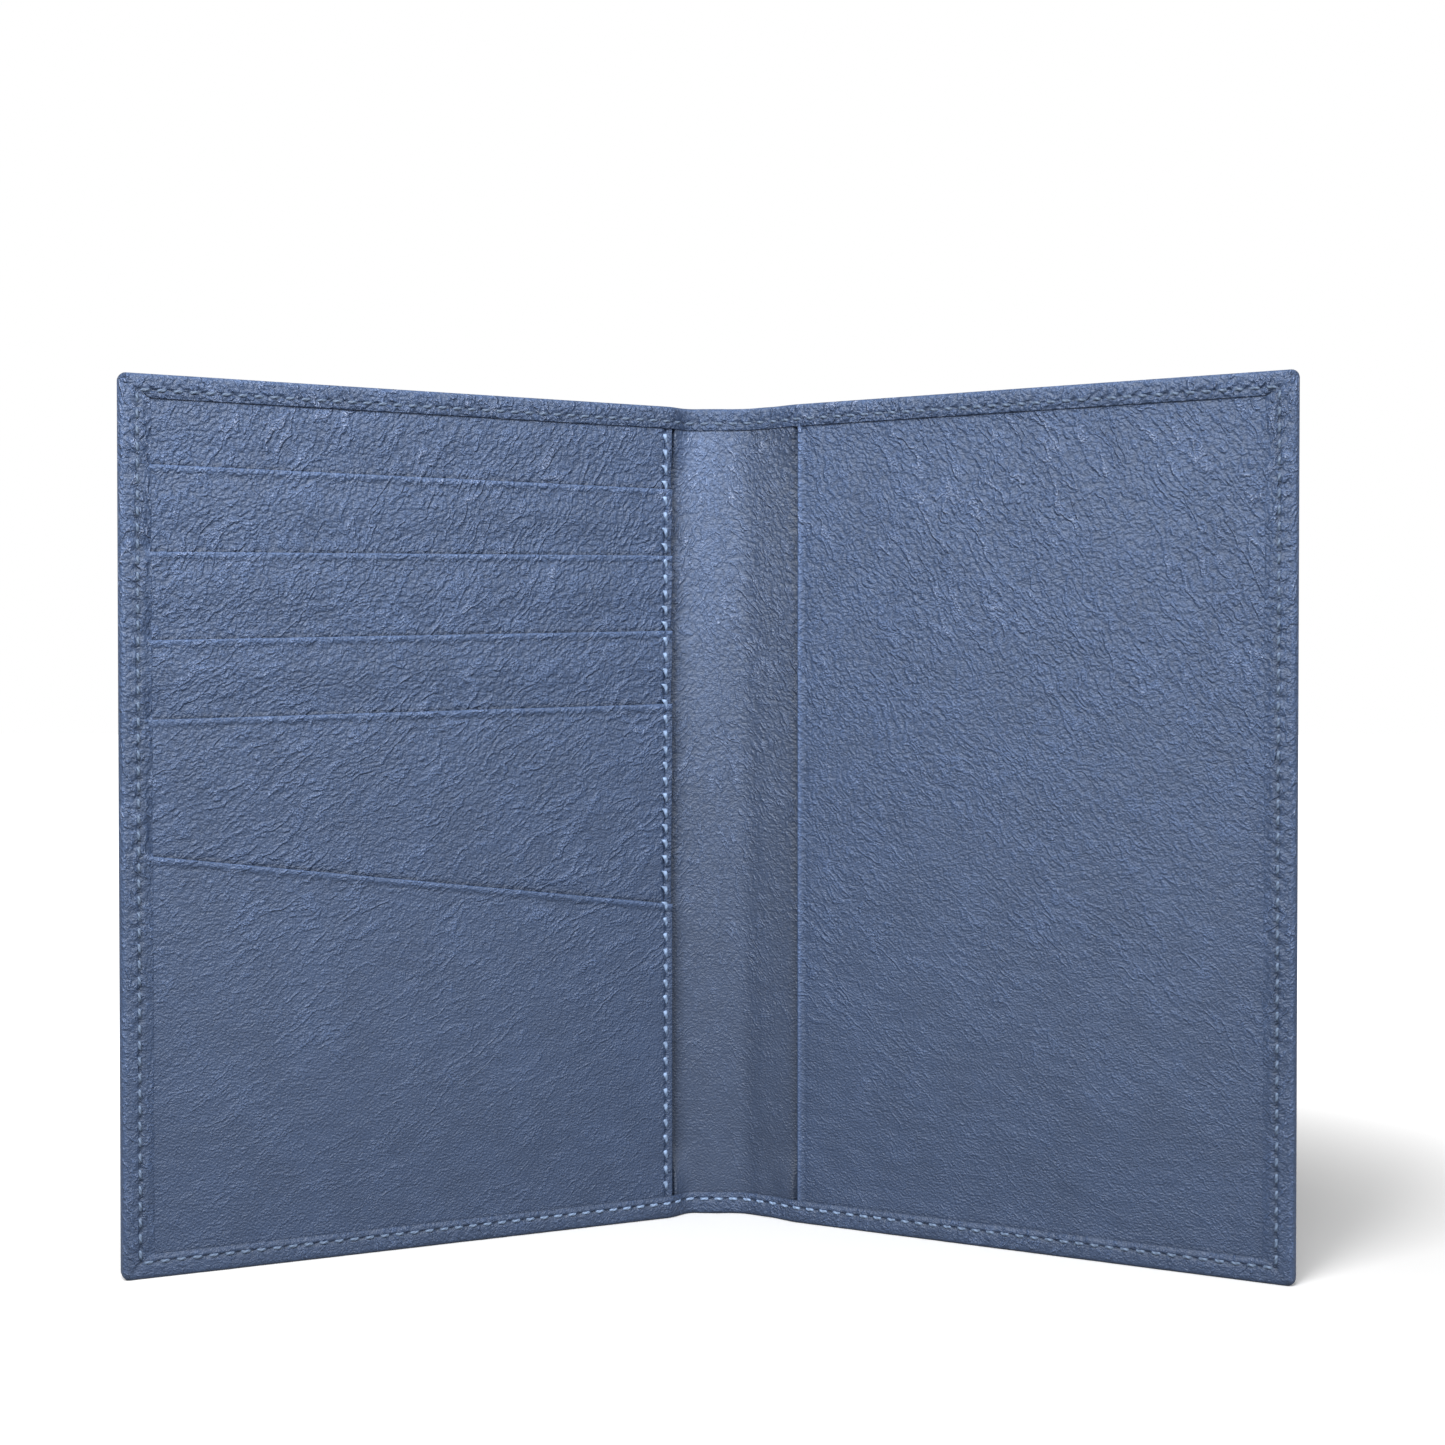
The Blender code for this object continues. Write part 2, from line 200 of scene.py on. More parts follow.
class HolderColours(bpy.types.PropertyGroup):
    leather: FloatVectorProperty(
        name="Leather", description="Outer leather", subtype="COLOR", size=3, default=(0.064, 0.106, 0.213))
    inner: FloatVectorProperty(
        name="Inner leather", description="Leaves and sleeve", subtype="COLOR", size=3,
        default=(0.066, 0.109, 0.219))
    lining: FloatVectorProperty(
        name="Lining", description="Lining leather", subtype="COLOR", size=3, default=(0.070, 0.108, 0.204))
    thread: FloatVectorProperty(
        name="Thread", description="Sewing thread", subtype="COLOR", size=3, default=(0.24, 0.34, 0.52))
    cloth: FloatVectorProperty(
        name="Pocket cloth", description="Cloth behind the slots", subtype="COLOR", size=3,
        default=(0.05, 0.065, 0.11))
    board: FloatVectorProperty(
        name="Board", description="Stiffening board", subtype="COLOR", size=3, default=(0.38, 0.36, 0.33))


class HolderStage(bpy.types.PropertyGroup):
    camera_place: FloatVectorProperty(
        name="Camera", description="Camera position", subtype="TRANSLATION", size=3,
        default=(0.00904, -0.32791, 0.0908))
    camera_turn: FloatProperty(
        name="Camera turn", description="Camera heading", default=0.02043, unit="ROTATION")
    camera_tilt: FloatProperty(
        name="Camera tilt", description="Camera pitch, up positive", default=-0.01484, unit="ROTATION")
    lens: FloatProperty(
        name="Lens", description="Focal length", default=49.95, subtype="DISTANCE_CAMERA")
    key_power: FloatProperty(
        name="Key light", description="Power of the key light", default=1.5, unit="POWER")
    fill_power: FloatProperty(
        name="Fill light", description="Power of the fill light", default=1.0, unit="POWER")
    top_power: FloatProperty(
        name="Top light", description="Power of the light over the front", default=0.55, unit="POWER")
    sky: FloatProperty(
        name="Sky", description="Strength of the surrounding white", default=0.28)
    floor: FloatVectorProperty(
        name="Floor", description="Floor colour", subtype="COLOR", size=3, default=(0.93, 0.93, 0.93))


def sizes():
    return bpy.context.scene.holder_sizes


def colours():
    return bpy.context.scene.holder_colours


# ------------------------------------------------------------------ geometry


def ease(x, low, high):
    """0 below low, 1 above high and smooth between them."""
    t = np.clip((x - low) / (high - low), 0.0, 1.0)
    return t * t * (3.0 - 2.0 * t)


def hump(x, middle, width):
    """1 at the middle, falling to 0 on both sides."""
    return np.exp(-(((x - middle) / width) ** 2))


def constant(value):
    """A function that gives one value at every point."""
    return lambda s, z=None: np.full(np.shape(s), value)


def place(side, s, w, z):
    """Position in the frame of a point at s, w, z on one side."""
    crease = CREASE[side]
    s, w, z = np.broadcast_arrays(s, w, z)
    bend = sizes().bend
    turn = crease["fold"] * ease(s, crease["half"] - bend, crease["half"] + bend)
    reach = s - crease["half"]
    x = side * (crease["half"] + reach * np.cos(turn) + w * np.sin(turn))
    y = crease["y"] - reach * np.sin(turn) + w * np.cos(turn)
    return np.stack([x, y, z], axis=-1)


def ripple(s, z, seed, shortest=2.5, longest=9.0):
    """Gentle unevenness between about -1 and 1, from waves at seeded directions."""
    rng = np.random.default_rng(seed)
    total = np.zeros(np.broadcast(s, z).shape)
    waves = 22
    for _ in range(waves):
        length = rng.uniform(shortest, longest) * MM
        angle = rng.uniform(0.0, math.pi)
        phase = rng.uniform(0.0, math.tau)
        total = total + np.sin(math.tau * (s * math.cos(angle) + z * math.sin(angle)) / length + phase)
    return total / math.sqrt(waves)


def lines(low, high, step, fine=0.2 * MM, extra=()):
    """Positions from low to high, close together at both ends and at each extra."""
    near = fine * np.array([0.0, 0.06, 0.2, 0.45, 0.75, 1.0])
    count = max(1, int(round((high - low - 2 * fine) / step)))
    middle = np.linspace(low + fine, high - fine, count + 1)
    found = np.concatenate([low + near, middle, high - near, np.array(extra, float)])
    found = np.unique(np.round(found[(found > low) & (found < high)], 7))
    gap = min(5e-6, fine / 20)
    found = found[(found - low > gap) & (high - found > gap)]
    found = found[np.concatenate([[True], np.diff(found) > gap])]
    return np.concatenate([[low], found, [high]])


def grid_faces(rows, columns, first=0, flip=False):
    """Quads of a rows by columns grid of vertices."""
    index = first + np.arange(rows * columns).reshape(rows, columns)
    quads = np.stack([index[:-1, :-1], index[:-1, 1:], index[1:, 1:], index[1:, :-1]], axis=-1).reshape(-1, 4)
    if flip:
        quads = quads[:, ::-1]
    return quads.tolist()


def make_piece(name, points, faces, grain, material, weld=0.0, dye=None):
    """A smooth mesh object with a texture map in metres, one place on it for each vertex, and a per-vertex
    attribute of painted light and shade, 1 being none.
    """
    mesh = bpy.data.meshes.new(name)
    mesh.from_pydata(np.asarray(points, float).tolist(), [], faces)
    loops = np.empty(len(mesh.loops), np.int32)
    mesh.loops.foreach_get("vertex_index", loops)
    layer = mesh.uv_layers.new(name="Hide")
    layer.data.foreach_set("uv", np.asarray(grain, np.float32)[loops].ravel())
    # Per-vertex painted light and shade: below 1 is painted shade, above 1 is painted highlight.
    shade = mesh.attributes.new("Dye", "FLOAT", "POINT")
    values = np.ones(len(points)) if dye is None else dye
    shade.data.foreach_set("value", values.astype(np.float32))
    if weld:
        bm = bmesh.new()
        bm.from_mesh(mesh)
        bmesh.ops.remove_doubles(bm, verts=bm.verts, dist=weld)
        bmesh.ops.dissolve_degenerate(bm, dist=weld / 2, edges=bm.edges)
        bm.to_mesh(mesh)
        bm.free()
    mesh.shade_smooth()
    mesh.materials.append(material)
    obj = bpy.data.objects.new(name, mesh)
    bpy.context.collection.objects.link(obj)
    return obj


def sheet_solid(name, side, s_lines, z_lines, low, high, front, thick, material, seed, relief=1.0, dye=None):
    """A sheet of leather with rounded edges. low, high, front and thick are functions, and so is the painted
    light and shade of its front face.
    """
    s, t = np.meshgrid(s_lines, z_lines, indexing="ij")
    bottom = low(s)
    top = high(s)
    z = bottom + (top - bottom) * t
    depth = thick(s, z)
    radius = depth / 2
    inset = np.minimum(np.minimum(s - s_lines[0], s_lines[-1] - s), np.minimum(z - bottom, top - z))
    inset = np.clip(inset, 0.0, radius)
    curl = radius - np.sqrt(np.maximum(radius**2 - (radius - inset) ** 2, 0.0))
    away = np.clip(inset / radius, 0.0, 1.0)
    base = front(s, z)
    rise = relief * sizes().ripple * ripple(side * s, z, seed) * away
    faces = grid_faces(*s.shape, flip=side == RIGHT)
    faces += grid_faces(*s.shape, first=s.size, flip=side == LEFT)
    points = np.concatenate([
        place(side, s, base + curl - rise, z).reshape(-1, 3),
        place(side, s, base + depth - curl, z).reshape(-1, 3),
    ])
    grain = np.stack([side * s, z], axis=-1).reshape(-1, 2)
    grain = np.concatenate([grain, grain + BACK_MAP])
    # Painted light and shade on the front face only; the back stays 1.
    painted_tone = np.ones(2 * s.size)
    if dye is not None:
        painted_tone[: s.size] = dye(s, z).reshape(-1)
    return make_piece(name, points, faces, grain, material, 2e-6, painted_tone)


def fractions(step, length, edge=0.2 * MM):
    """Lines from 0 to 1 over a length, close together at both ends."""
    return lines(0.0, length, step, edge) / length


# ------------------------------------------------------- outer leather, seams


def lip_front(side, s):
    """Depth of the lip's face, which climbs onto the panel under it."""
    climb = LIP_CLIMB[side]
    return -LIP_RISE[side] * ease(s, HALF_SPINE + climb[0], HALF_SPINE + climb[1])


def hide_back(s):
    """Depth of the outer face, which sinks a little over the spine."""
    return BACK_SPINE + (BACK_COVER - BACK_SPINE) * ease(s, HALF_SPINE - 0.8 * MM, HALF_SPINE + 1.6 * MM)


def fore_inset(inset):
    """Inset from the fore edge that goes with an inset from the top and bottom."""
    p = sizes()
    flat = [0.0, p.corner, p.flat_seam, p.flat_lip]
    return np.interp(inset, flat, [0.0, p.corner, p.fore_seam, p.fore_lip])


def round_path(inset):
    """(s, z, across, phase) all the way round one cover at an inset from its edge.

    It runs along the bottom, up the fore edge and back along the top. across is
    the unit direction to the edge and phase counts stitches.
    """
    p = sizes()
    reach = p.cover_reach
    fore = fore_inset(inset)
    end = reach - max(p.corner, fore)
    low = max(p.corner, inset)
    flat = np.arange(FLAT_STITCHES * STATIONS + 1) / STATIONS
    up = np.arange(FORE_STITCHES * STATIONS + 1) / STATIONS
    arc = np.linspace(0.0, math.pi / 2, CORNER_STEPS + 2)[1:-1]
    bow = max(p.corner - inset, 0.0)
    arc_s = end + bow * np.sin(arc)
    arc_z = low - bow * np.cos(arc)
    if bow == 0.0:
        arc_s = np.full(arc.shape, reach - fore)
        arc_z = np.full(arc.shape, inset)
    s_flat = flat / FLAT_STITCHES * end
    z_up = low + up / FORE_STITCHES * (HEIGHT - 2 * low)
    s = np.concatenate([s_flat, arc_s, np.full(up.shape, reach - fore), arc_s[::-1], s_flat[::-1]])
    z = np.concatenate([
        np.full(flat.shape, inset), arc_z, z_up, HEIGHT - arc_z[::-1], np.full(flat.shape, HEIGHT - inset)])
    out_s = np.concatenate([0 * flat, np.sin(arc), 0 * up + 1, np.sin(arc[::-1]), 0 * flat])
    out_z = np.concatenate([0 * flat - 1, -np.cos(arc), 0 * up, np.cos(arc[::-1]), 0 * flat + 1])
    phase = np.concatenate([
        flat,
        np.full(arc.shape, float(FLAT_STITCHES)),
        FLAT_STITCHES + up,
        np.full(arc.shape, float(FLAT_STITCHES + FORE_STITCHES)),
        FLAT_STITCHES + FORE_STITCHES + flat,
    ])
    return s, z, np.stack([out_s, out_z]), phase


def edge_rows():
    """Rows of the turned edge's section, from the lip's underside to the back: (inset, face, mix).

    inset is None on a rounded row, whose mix is its angle. On a wall row mix is
    the place between the two faces, and on the cut row it says which end.
    """
    p = sizes()
    lip = p.flat_lip
    seam = p.flat_seam
    near = np.array([0.75, 0.5, 0.34, 0.22, 0.12, 0.05]) * MM
    seam_rows = np.concatenate([seam + near, [seam], seam - near[::-1]])
    flat = [lip - 0.35 * MM] + list(seam_rows) + [p.edge_round + 0.2 * MM]
    angles = np.linspace(0.0, math.pi / 2, 7)
    rows = [(lip, "under", 0.0), (lip, "cut", 0.0), (lip - 0.05 * MM, "cut", 1.0)]
    rows += [(lip - 0.15 * MM, "front", 0.0)]
    rows += [(inset, "front", 0.0) for inset in flat]
    rows += [(None, "front_round", angle) for angle in angles]
    rows += [(0.0, "wall", mix) for mix in (0.2, 0.4, 0.6, 0.8)]
    rows += [(None, "back_round", angle) for angle in angles[::-1]]
    rows += [(inset, "back", 0.0) for inset in reversed(flat[1:-1]) if inset > p.back_round + 0.1 * MM]
    rows += [(lip - 0.3 * MM, "back", 0.0), (lip, "back", 0.0)]
    return rows


def seam_dip(inset, phase):
    """How far a seam pulls the face in: a groove, deeper at each needle hole, with puckers beside it."""
    p = sizes()
    off = (inset - p.flat_seam) / MM
    hole = 0.5 + 0.5 * np.cos(math.tau * phase)
    groove = hump(off, 0.0, 0.36) * (0.75 + 0.25 * hole)
    pit = 0.6 * hump(off, 0.0, 0.2) * hole**4
    slanted = 0.5 + 0.5 * np.cos(math.tau * (phase - 0.3 * off))
    near = (1.0 - hump(off, 0.0, 0.3)) * np.where(off < 0, 2.3, 0.4)
    lively = 0.25 + 0.75 * ease(phase, FLAT_STITCHES, FLAT_STITCHES + 0.8 * FORE_STITCHES)
    pucker = lively * near * hump(off, 0.0, 1.25) * (0.5 * slanted**2 - 0.35 * (1 - slanted))
    return p.groove * (groove + pit + pucker)


def seam_painted_shade(inset, phase):
    """Painted shade in a seam's groove and needle holes."""
    off = (inset - sizes().flat_seam) / MM
    hole = (0.5 + 0.5 * np.cos(math.tau * phase)) ** 4
    return 1 - 0.16 * hump(off, 0.0, 0.35) - 0.22 * hump(off, 0.0, 0.3) * hole


def free_edge(side):
    """Where the card panel or the sleeve begins."""
    return PANEL_EDGE if side == LEFT else FLAP_EDGE


def skive(side, inset, s, z, out, front):
    """Depth of the lip's face, thinned down to meet the panel under it."""
    p = sizes()
    panel = panel_front(s, z) if side == LEFT else FLAP_FRONT
    panel = np.where(s < free_edge(side), lip_front(side, s) + LIP_OVER, panel) - 0.04 * MM
    share = ease(inset, p.fore_seam + 0.2 * MM, p.flat_lip) * (0.6 + 0.4 * ease(out[0], 0.3, 0.9))
    return front + (panel - front) * share


def hide_half(side, material):
    """Outer leather from the middle of the spine round one cover, as one skin."""
    p = sizes()
    rows = []
    maps = []
    painted_tones = []
    travel = 0.0
    for inset, face, mix in edge_rows():
        curl = p.back_round if face == "back_round" else p.edge_round
        nominal = curl * (1 - math.sin(mix)) if inset is None else inset
        s, z, out, phase = round_path(nominal)
        front = lip_front(side, s)
        back = hide_back(s)
        front_bend = np.minimum(p.edge_round, 0.42 * (back - front))
        back_bend = np.minimum(p.back_round, 0.5 * (back - front))
        shift = 0.0
        bump = hide_ripple(side, s, z)
        on_fore = ease(out[0], 0.3, 0.9)
        if face in ("under", "cut", "front"):
            front = skive(side, nominal, s, z, out, front)
        painted_tone = np.ones(s.shape)
        if face == "under":
            w = front + 0.42 * MM
            # Painted shade in the crevice under the lip's cut, less along the fore edge.
            painted_tone = 1 - 0.45 * (1 - on_fore)
        elif face == "cut":
            w = front + (0.12 * MM if mix == 0.0 else 0.03 * MM)
            # Painted shade on the lip's cut edge, less along the fore edge.
            painted_tone = 1 - 0.35 * (1 - on_fore)
        elif face == "front":
            w = front + seam_dip(inset, phase) - bump
            painted_tone = seam_painted_shade(inset, phase)
        elif face == "back":
            w = back - seam_dip(inset, phase) + bump
            painted_tone = seam_painted_shade(inset, phase)
        elif face == "wall":
            w = front + front_bend + (back - front - front_bend - back_bend) * mix
            shift = 0.05 * MM * math.sin(math.pi * mix)
            # Painted light: the edge's wall is painted lighter.
            painted_tone = painted_tone * 1.6
        elif face == "front_round":
            w = front + front_bend * (1 - math.cos(mix)) - bump * math.cos(mix)
            # Painted highlight on the inner rounding.
            painted_tone = painted_tone * (1 + 0.4 * math.sin(mix))
        else:
            w = back - back_bend * (1 - math.cos(mix)) + bump * math.cos(mix)
            # Painted highlight on the outer rounding.
            painted_tone = painted_tone * (1 + 0.6 * math.sin(mix) ** 2)
        s_here = s + out[0] * shift
        z_here = z + out[1] * shift
        rows.append(place(side, s_here, w, z_here))
        painted_tones.append(painted_tone)
        fore = fore_inset(nominal)
        section = np.stack([nominal + (fore - nominal) * out[0] ** 2, w])
        if maps:
            travel = travel + np.hypot(*(section - last))
        last = section
        maps.append((s + out[0] * fore, z + out[1] * nominal, travel))
    edge_points = np.stack(rows)
    beyond = travel - last[0]
    unrolled = [
        np.stack([side * (edge_s + out[0] * (beyond - done)), edge_z + out[1] * (beyond - done)], axis=-1)
        for edge_s, edge_z, done in maps
    ]
    grain = np.stack(unrolled)
    count_rows, count_path = edge_points.shape[:2]
    faces = grid_faces(count_rows, count_path, flip=side == RIGHT)
    patch_points, patch_grain, patch_faces = back_patch(side, count_rows, count_path)
    points = np.concatenate([edge_points.reshape(-1, 3), patch_points])
    grain = np.concatenate([grain.reshape(-1, 2), patch_grain])
    painted_tone = np.concatenate([np.concatenate(painted_tones), np.ones(len(patch_points))])
    name = "outer_leather_%s_half" % WORD[side]
    return make_piece(name, points, faces + patch_faces, grain, material, 1.5e-6, painted_tone)


def back_patch(side, count_rows, count_path):
    """The plain middle of the outer face, joined to the last row of the edge."""
    p = sizes()
    margin = 1.2 * MM
    inner = p.flat_lip + margin
    across = FLAT_STITCHES * STATIONS // PATCH_SKIP
    up = FORE_STITCHES * STATIONS // PATCH_SKIP
    end = p.cover_reach - p.fore_lip - margin
    z_lines = np.linspace(inner, HEIGHT - inner, up + 1)
    s, z = np.meshgrid(np.linspace(0.0, end, across + 1), z_lines, indexing="ij")
    depth = hide_back(s) + hide_ripple(side, s, z) - press_line(s)
    points = place(side, s, depth, z).reshape(-1, 3)
    grain = np.stack([side * s, z], axis=-1).reshape(-1, 2)
    first = count_rows * count_path
    faces = grid_faces(across + 1, up + 1, first=first, flip=side == LEFT)
    ring = (count_rows - 1) * count_path

    def patch(i, j):
        return first + i * (up + 1) + j

    fore_start = FLAT_STITCHES * STATIONS + CORNER_STEPS + 1
    top_start = fore_start + FORE_STITCHES * STATIONS + CORNER_STEPS + 1
    strips = []
    for k in range(across):
        low = [ring + k * PATCH_SKIP + n for n in range(PATCH_SKIP + 1)]
        strips.append(low + [patch(k + 1, 0), patch(k, 0)])
        start = top_start + (across - k - 1) * PATCH_SKIP
        high = [ring + start + n for n in range(PATCH_SKIP + 1)]
        strips.append(high + [patch(k, up), patch(k + 1, up)])
    for k in range(up):
        side_run = [ring + fore_start + k * PATCH_SKIP + n for n in range(PATCH_SKIP + 1)]
        strips.append(side_run + [patch(across, k + 1), patch(across, k)])
    if side == RIGHT:
        strips = [list(reversed(strip)) for strip in strips]
    return points, grain, faces + strips


def press_line(s):
    """A shallow pressed line in the outer face along the crease."""
    return 0.12 * MM * hump(s, HALF_SPINE, 0.9 * MM)


def hide_ripple(side, s, z):
    """Unevenness of the hide, gone where its two halves meet."""
    return sizes().ripple * 1.3 * ripple(side * s, z, HIDE_SEED) * ease(s, 0.0, 1.5 * MM)


def match_halves(first, second):
    """Give both halves the same normals along the line where they meet."""
    found = {}
    normals = []
    for obj in (first, second):
        mesh = obj.data
        own = np.array([vertex.normal[:] for vertex in mesh.vertices])
        normals.append(own)
        for vertex in mesh.vertices:
            if abs(vertex.co.x) < 1e-6:
                key = (round(vertex.co.y, 6), round(vertex.co.z, 6))
                found.setdefault(key, []).append(own[vertex.index])
    for obj, own in zip((first, second), normals):
        for vertex in obj.data.vertices:
            key = (round(vertex.co.y, 6), round(vertex.co.z, 6))
            if abs(vertex.co.x) < 1e-6 and key in found:
                mean = np.sum(found[key], axis=0)
                own[vertex.index] = mean / max(np.linalg.norm(mean), 1e-9)
        obj.data.normals_split_custom_set_from_vertices(own.tolist())


def bend_over_crease(obj, side):
    """Bake a piece's transform into its mesh. The ends of its bend over the crease are worked out but not
    used.
    """
    bend = sizes().bend
    start = place(side, HALF_SPINE - bend, LINING_FRONT, HEIGHT / 2)
    end = place(side, HALF_SPINE + bend, LINING_FRONT, HEIGHT / 2)
    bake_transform(obj)


def tube(centre, lateral, upward, thick_across, thick_up):
    """Points of a tube round each path. All three have axes (tubes, steps, s w z)."""
    angle = np.linspace(0.0, math.tau, STITCH_SIDES, endpoint=False)
    ring = lateral[..., None, :] * (thick_across * np.cos(angle))[:, None]
    ring = ring + upward[..., None, :] * (thick_up * np.sin(angle))[:, None]
    return centre[..., None, :] + ring


def stitch_faces(tubes):
    """Faces of closed tubes, one for each stitch."""
    faces = []
    block = np.arange(STITCH_STEPS * STITCH_SIDES).reshape(STITCH_STEPS, STITCH_SIDES)
    turned = np.roll(block, -1, axis=1)
    quads = np.stack([block[:-1], turned[:-1], turned[1:], block[1:]], axis=-1).reshape(-1, 4)
    ends = [block[0][::-1].tolist(), block[-1].tolist()]
    for k in range(tubes):
        offset = k * block.size
        faces += (quads + offset).tolist()
        faces += [[index + offset for index in end] for end in ends]
    return faces


def stitches(name, side, along, count, out, surface, slant, material, taper=0.0, stout=1.0, least_painted_shading=0.0):
    """Separate stitches.

    along(phase) gives (s, z), out(phase) the direction to the edge and surface(s)
    the leather's depth and which way it faces. slant turns each stitch, and taper
    makes one end thicker than the other.
    """
    t = np.linspace(0.0, 1.0, STITCH_STEPS)
    phase = np.arange(count)[:, None] + STITCH_START + STITCH_SPAN * t[None, :]
    s, z = along(phase)
    towards = out(phase)
    lean = slant * (t - 0.5)[None, :]
    p = sizes()
    arch = (-0.5 + 0.48 * np.sin(math.pi * t) ** 0.5)[None, :] * MM
    level, facing = surface(s)
    s = s + towards[0] * lean
    z = z + towards[1] * lean
    centre = np.stack([s, level + facing * arch, z + 0 * s], axis=-1)
    lateral = np.stack([towards[0] + 0 * s, 0 * s, towards[1] + 0 * s], axis=-1)
    upward = np.stack([0 * s, facing + 0 * s, 0 * s], axis=-1)
    swell = (1 + taper * (t - 0.5))[None, :, None]
    thick = p.thread * stout
    cloud = tube(centre, lateral * swell, upward * swell, thick, thick * 0.85).reshape(-1, 3)
    points = place(side, cloud[:, 0], cloud[:, 1], cloud[:, 2])
    girth = np.arange(STITCH_SIDES) / STITCH_SIDES * math.tau * p.thread
    run, round_it = np.broadcast_arrays((phase * STITCH_PITCH)[..., None], girth)
    grain = np.stack([run, round_it], axis=-1).reshape(-1, 2)
    # Thread painted darker towards the top and lighter towards the bottom, most near the spine: painted shade
    # and painted highlight.
    down = 1 - cloud[:, 2] / HEIGHT
    dye = 0.5 + (0.15 + 0.6 * hump(cloud[:, 0], 0.0, 34 * MM)) * down
    return make_piece(name, points, stitch_faces(count), grain, material, dye=np.maximum(dye, least_painted_shading))


def seam_at(inset):
    """Functions that give a place on a cover's seam, and the way to the edge, from a phase."""
    s, z, _, phase = round_path(inset)
    keep = np.concatenate([[True], np.diff(phase) > 1e-9])
    s, z, phase = s[keep], z[keep], phase[keep]

    def along(value):
        return np.interp(value, phase, s), np.interp(value, phase, z)

    def towards(value):
        fore = (value > FLAT_STITCHES) & (value < FLAT_STITCHES + FORE_STITCHES)
        top = value >= FLAT_STITCHES + FORE_STITCHES
        return np.where(fore, 1.0, 0.0), np.where(fore, 0.0, np.where(top, 1.0, -1.0))

    return along, towards


# --------------------------------------------------------------- card panel


def toward_spine(s):
    """0 at the panel's fore end, 1 at its free edge."""
    return (PANEL_END - s) / (PANEL_END - PANEL_EDGE)


def edge_height(pair):
    """Height of an opening edge as a function of s."""
    return lambda s: HEIGHT - (pair[0] + (pair[1] - pair[0]) * toward_spine(s)) * MM


def within_lips(s, z, reach=9.0 * MM):
    """1 in the middle of a panel, falling to 0 at the lips that hold it."""
    p = sizes()
    up = np.minimum(z - p.flat_lip, HEIGHT - p.flat_lip - z)
    along = p.cover_reach - p.fore_lip - s
    return ease(up, 0.0, reach) * ease(along, 0.0, reach)


def panel_seam_dip(s, z):
    """How far the panel seam pulls the leaves in."""
    p = sizes()
    off = (s - PANEL_EDGE - p.panel_seam) / MM
    low, pitch = panel_seam_run()
    hole = 0.5 + 0.5 * np.cos(math.tau * (z - low) / pitch)
    groove = hump(off, 0.0, 0.4) * (0.7 + 0.3 * hole)
    pit = hump(off, 0.0, 0.17) * hole**6
    return 1.3 * p.groove * (groove + pit)


def panel_seam_run():
    """Lowest needle hole of the panel seam, and its pitch."""
    p = sizes()
    low = p.flat_lip + 0.4 * MM
    return low, (HEIGHT - 2 * low) / p.panel_stitches


def panel_lines(step):
    """Lines across the card panel, close together at its seam."""
    seam = PANEL_EDGE + sizes().panel_seam
    around = np.array([0.0, 0.07, 0.14, 0.22, 0.32, 0.46, 0.65, 0.9]) * MM
    return lines(PANEL_EDGE, PANEL_END, step, extra=np.concatenate([seam - around, seam + around]))


def leaf_level(down, pitch):
    """Depth of a leaf: proud at its own edge, then settling until the next edge."""
    return LEAF_OUTER + (LEAF_INNER - LEAF_OUTER) * ease(down, LEAF_FLAT, pitch - LEAF_CLEAR)


def panel_front(s, z):
    """Depth of the card panel's face, away from the flare of its openings."""
    tops = panel_tops()
    w = np.full(np.shape(s), LEAF_OUTER)
    for top, next_top in zip(tops[:-1], tops[1:]):
        here = (z < top(s)) & (z >= next_top(s))
        w = np.where(here, leaf_level(top(s) - z, top(s) - next_top(s)), w)
    return w


def panel_tops():
    """Upper edges of the header, the slot leaves and the pocket, from the top."""
    return [edge_height(pair) for pair in ((1.0, 1.0),) + SLOT_EDGES + (POCKET_EDGE,)]


def lip_painted_shade(s, z):
    """Painted shade in the line where the top and bottom lips end."""
    lip = sizes().flat_lip
    near = np.minimum(np.abs(z - lip), np.abs(HEIGHT - lip - z))
    return 1 - 0.26 * hump(near, 0.0, 0.22 * MM)


def free_part(s, z):
    """1 where an opening's edge is free to stand off, falling to 0 at the seams that hold its ends."""
    return within_lips(s, z, 6 * MM) * ease(s, PANEL_EDGE + 2 * MM, PANEL_EDGE + 9 * MM)


def rolled_edge(down, free):
    """Rise of an opening's turned edge: a soft roll with a faint pressed line under it."""
    roll = 0.2 * hump(down, 0.4 * MM, 0.55 * MM)
    flare = 0.14 * np.exp(-down / (1.6 * MM)) * free
    line = 0.06 * hump(down, 1.35 * MM, 0.3 * MM)
    return (roll + flare - line) * MM


def opening_painted_shade(over):
    """Painted shade beside an opening: dark just over the next leaf's edge."""
    return 1 - 0.4 * hump(over, 0.1 * MM, 0.42 * MM)


def edge_painted_light(down):
    """Painted light and shade of a turned edge: a painted highlight on the roll over a faint line of painted
    shade.
    """
    light = 0.45 * hump(down, 0.35 * MM, 0.4 * MM)
    return 1 + light - 0.14 * hump(down, 1.35 * MM, 0.28 * MM)


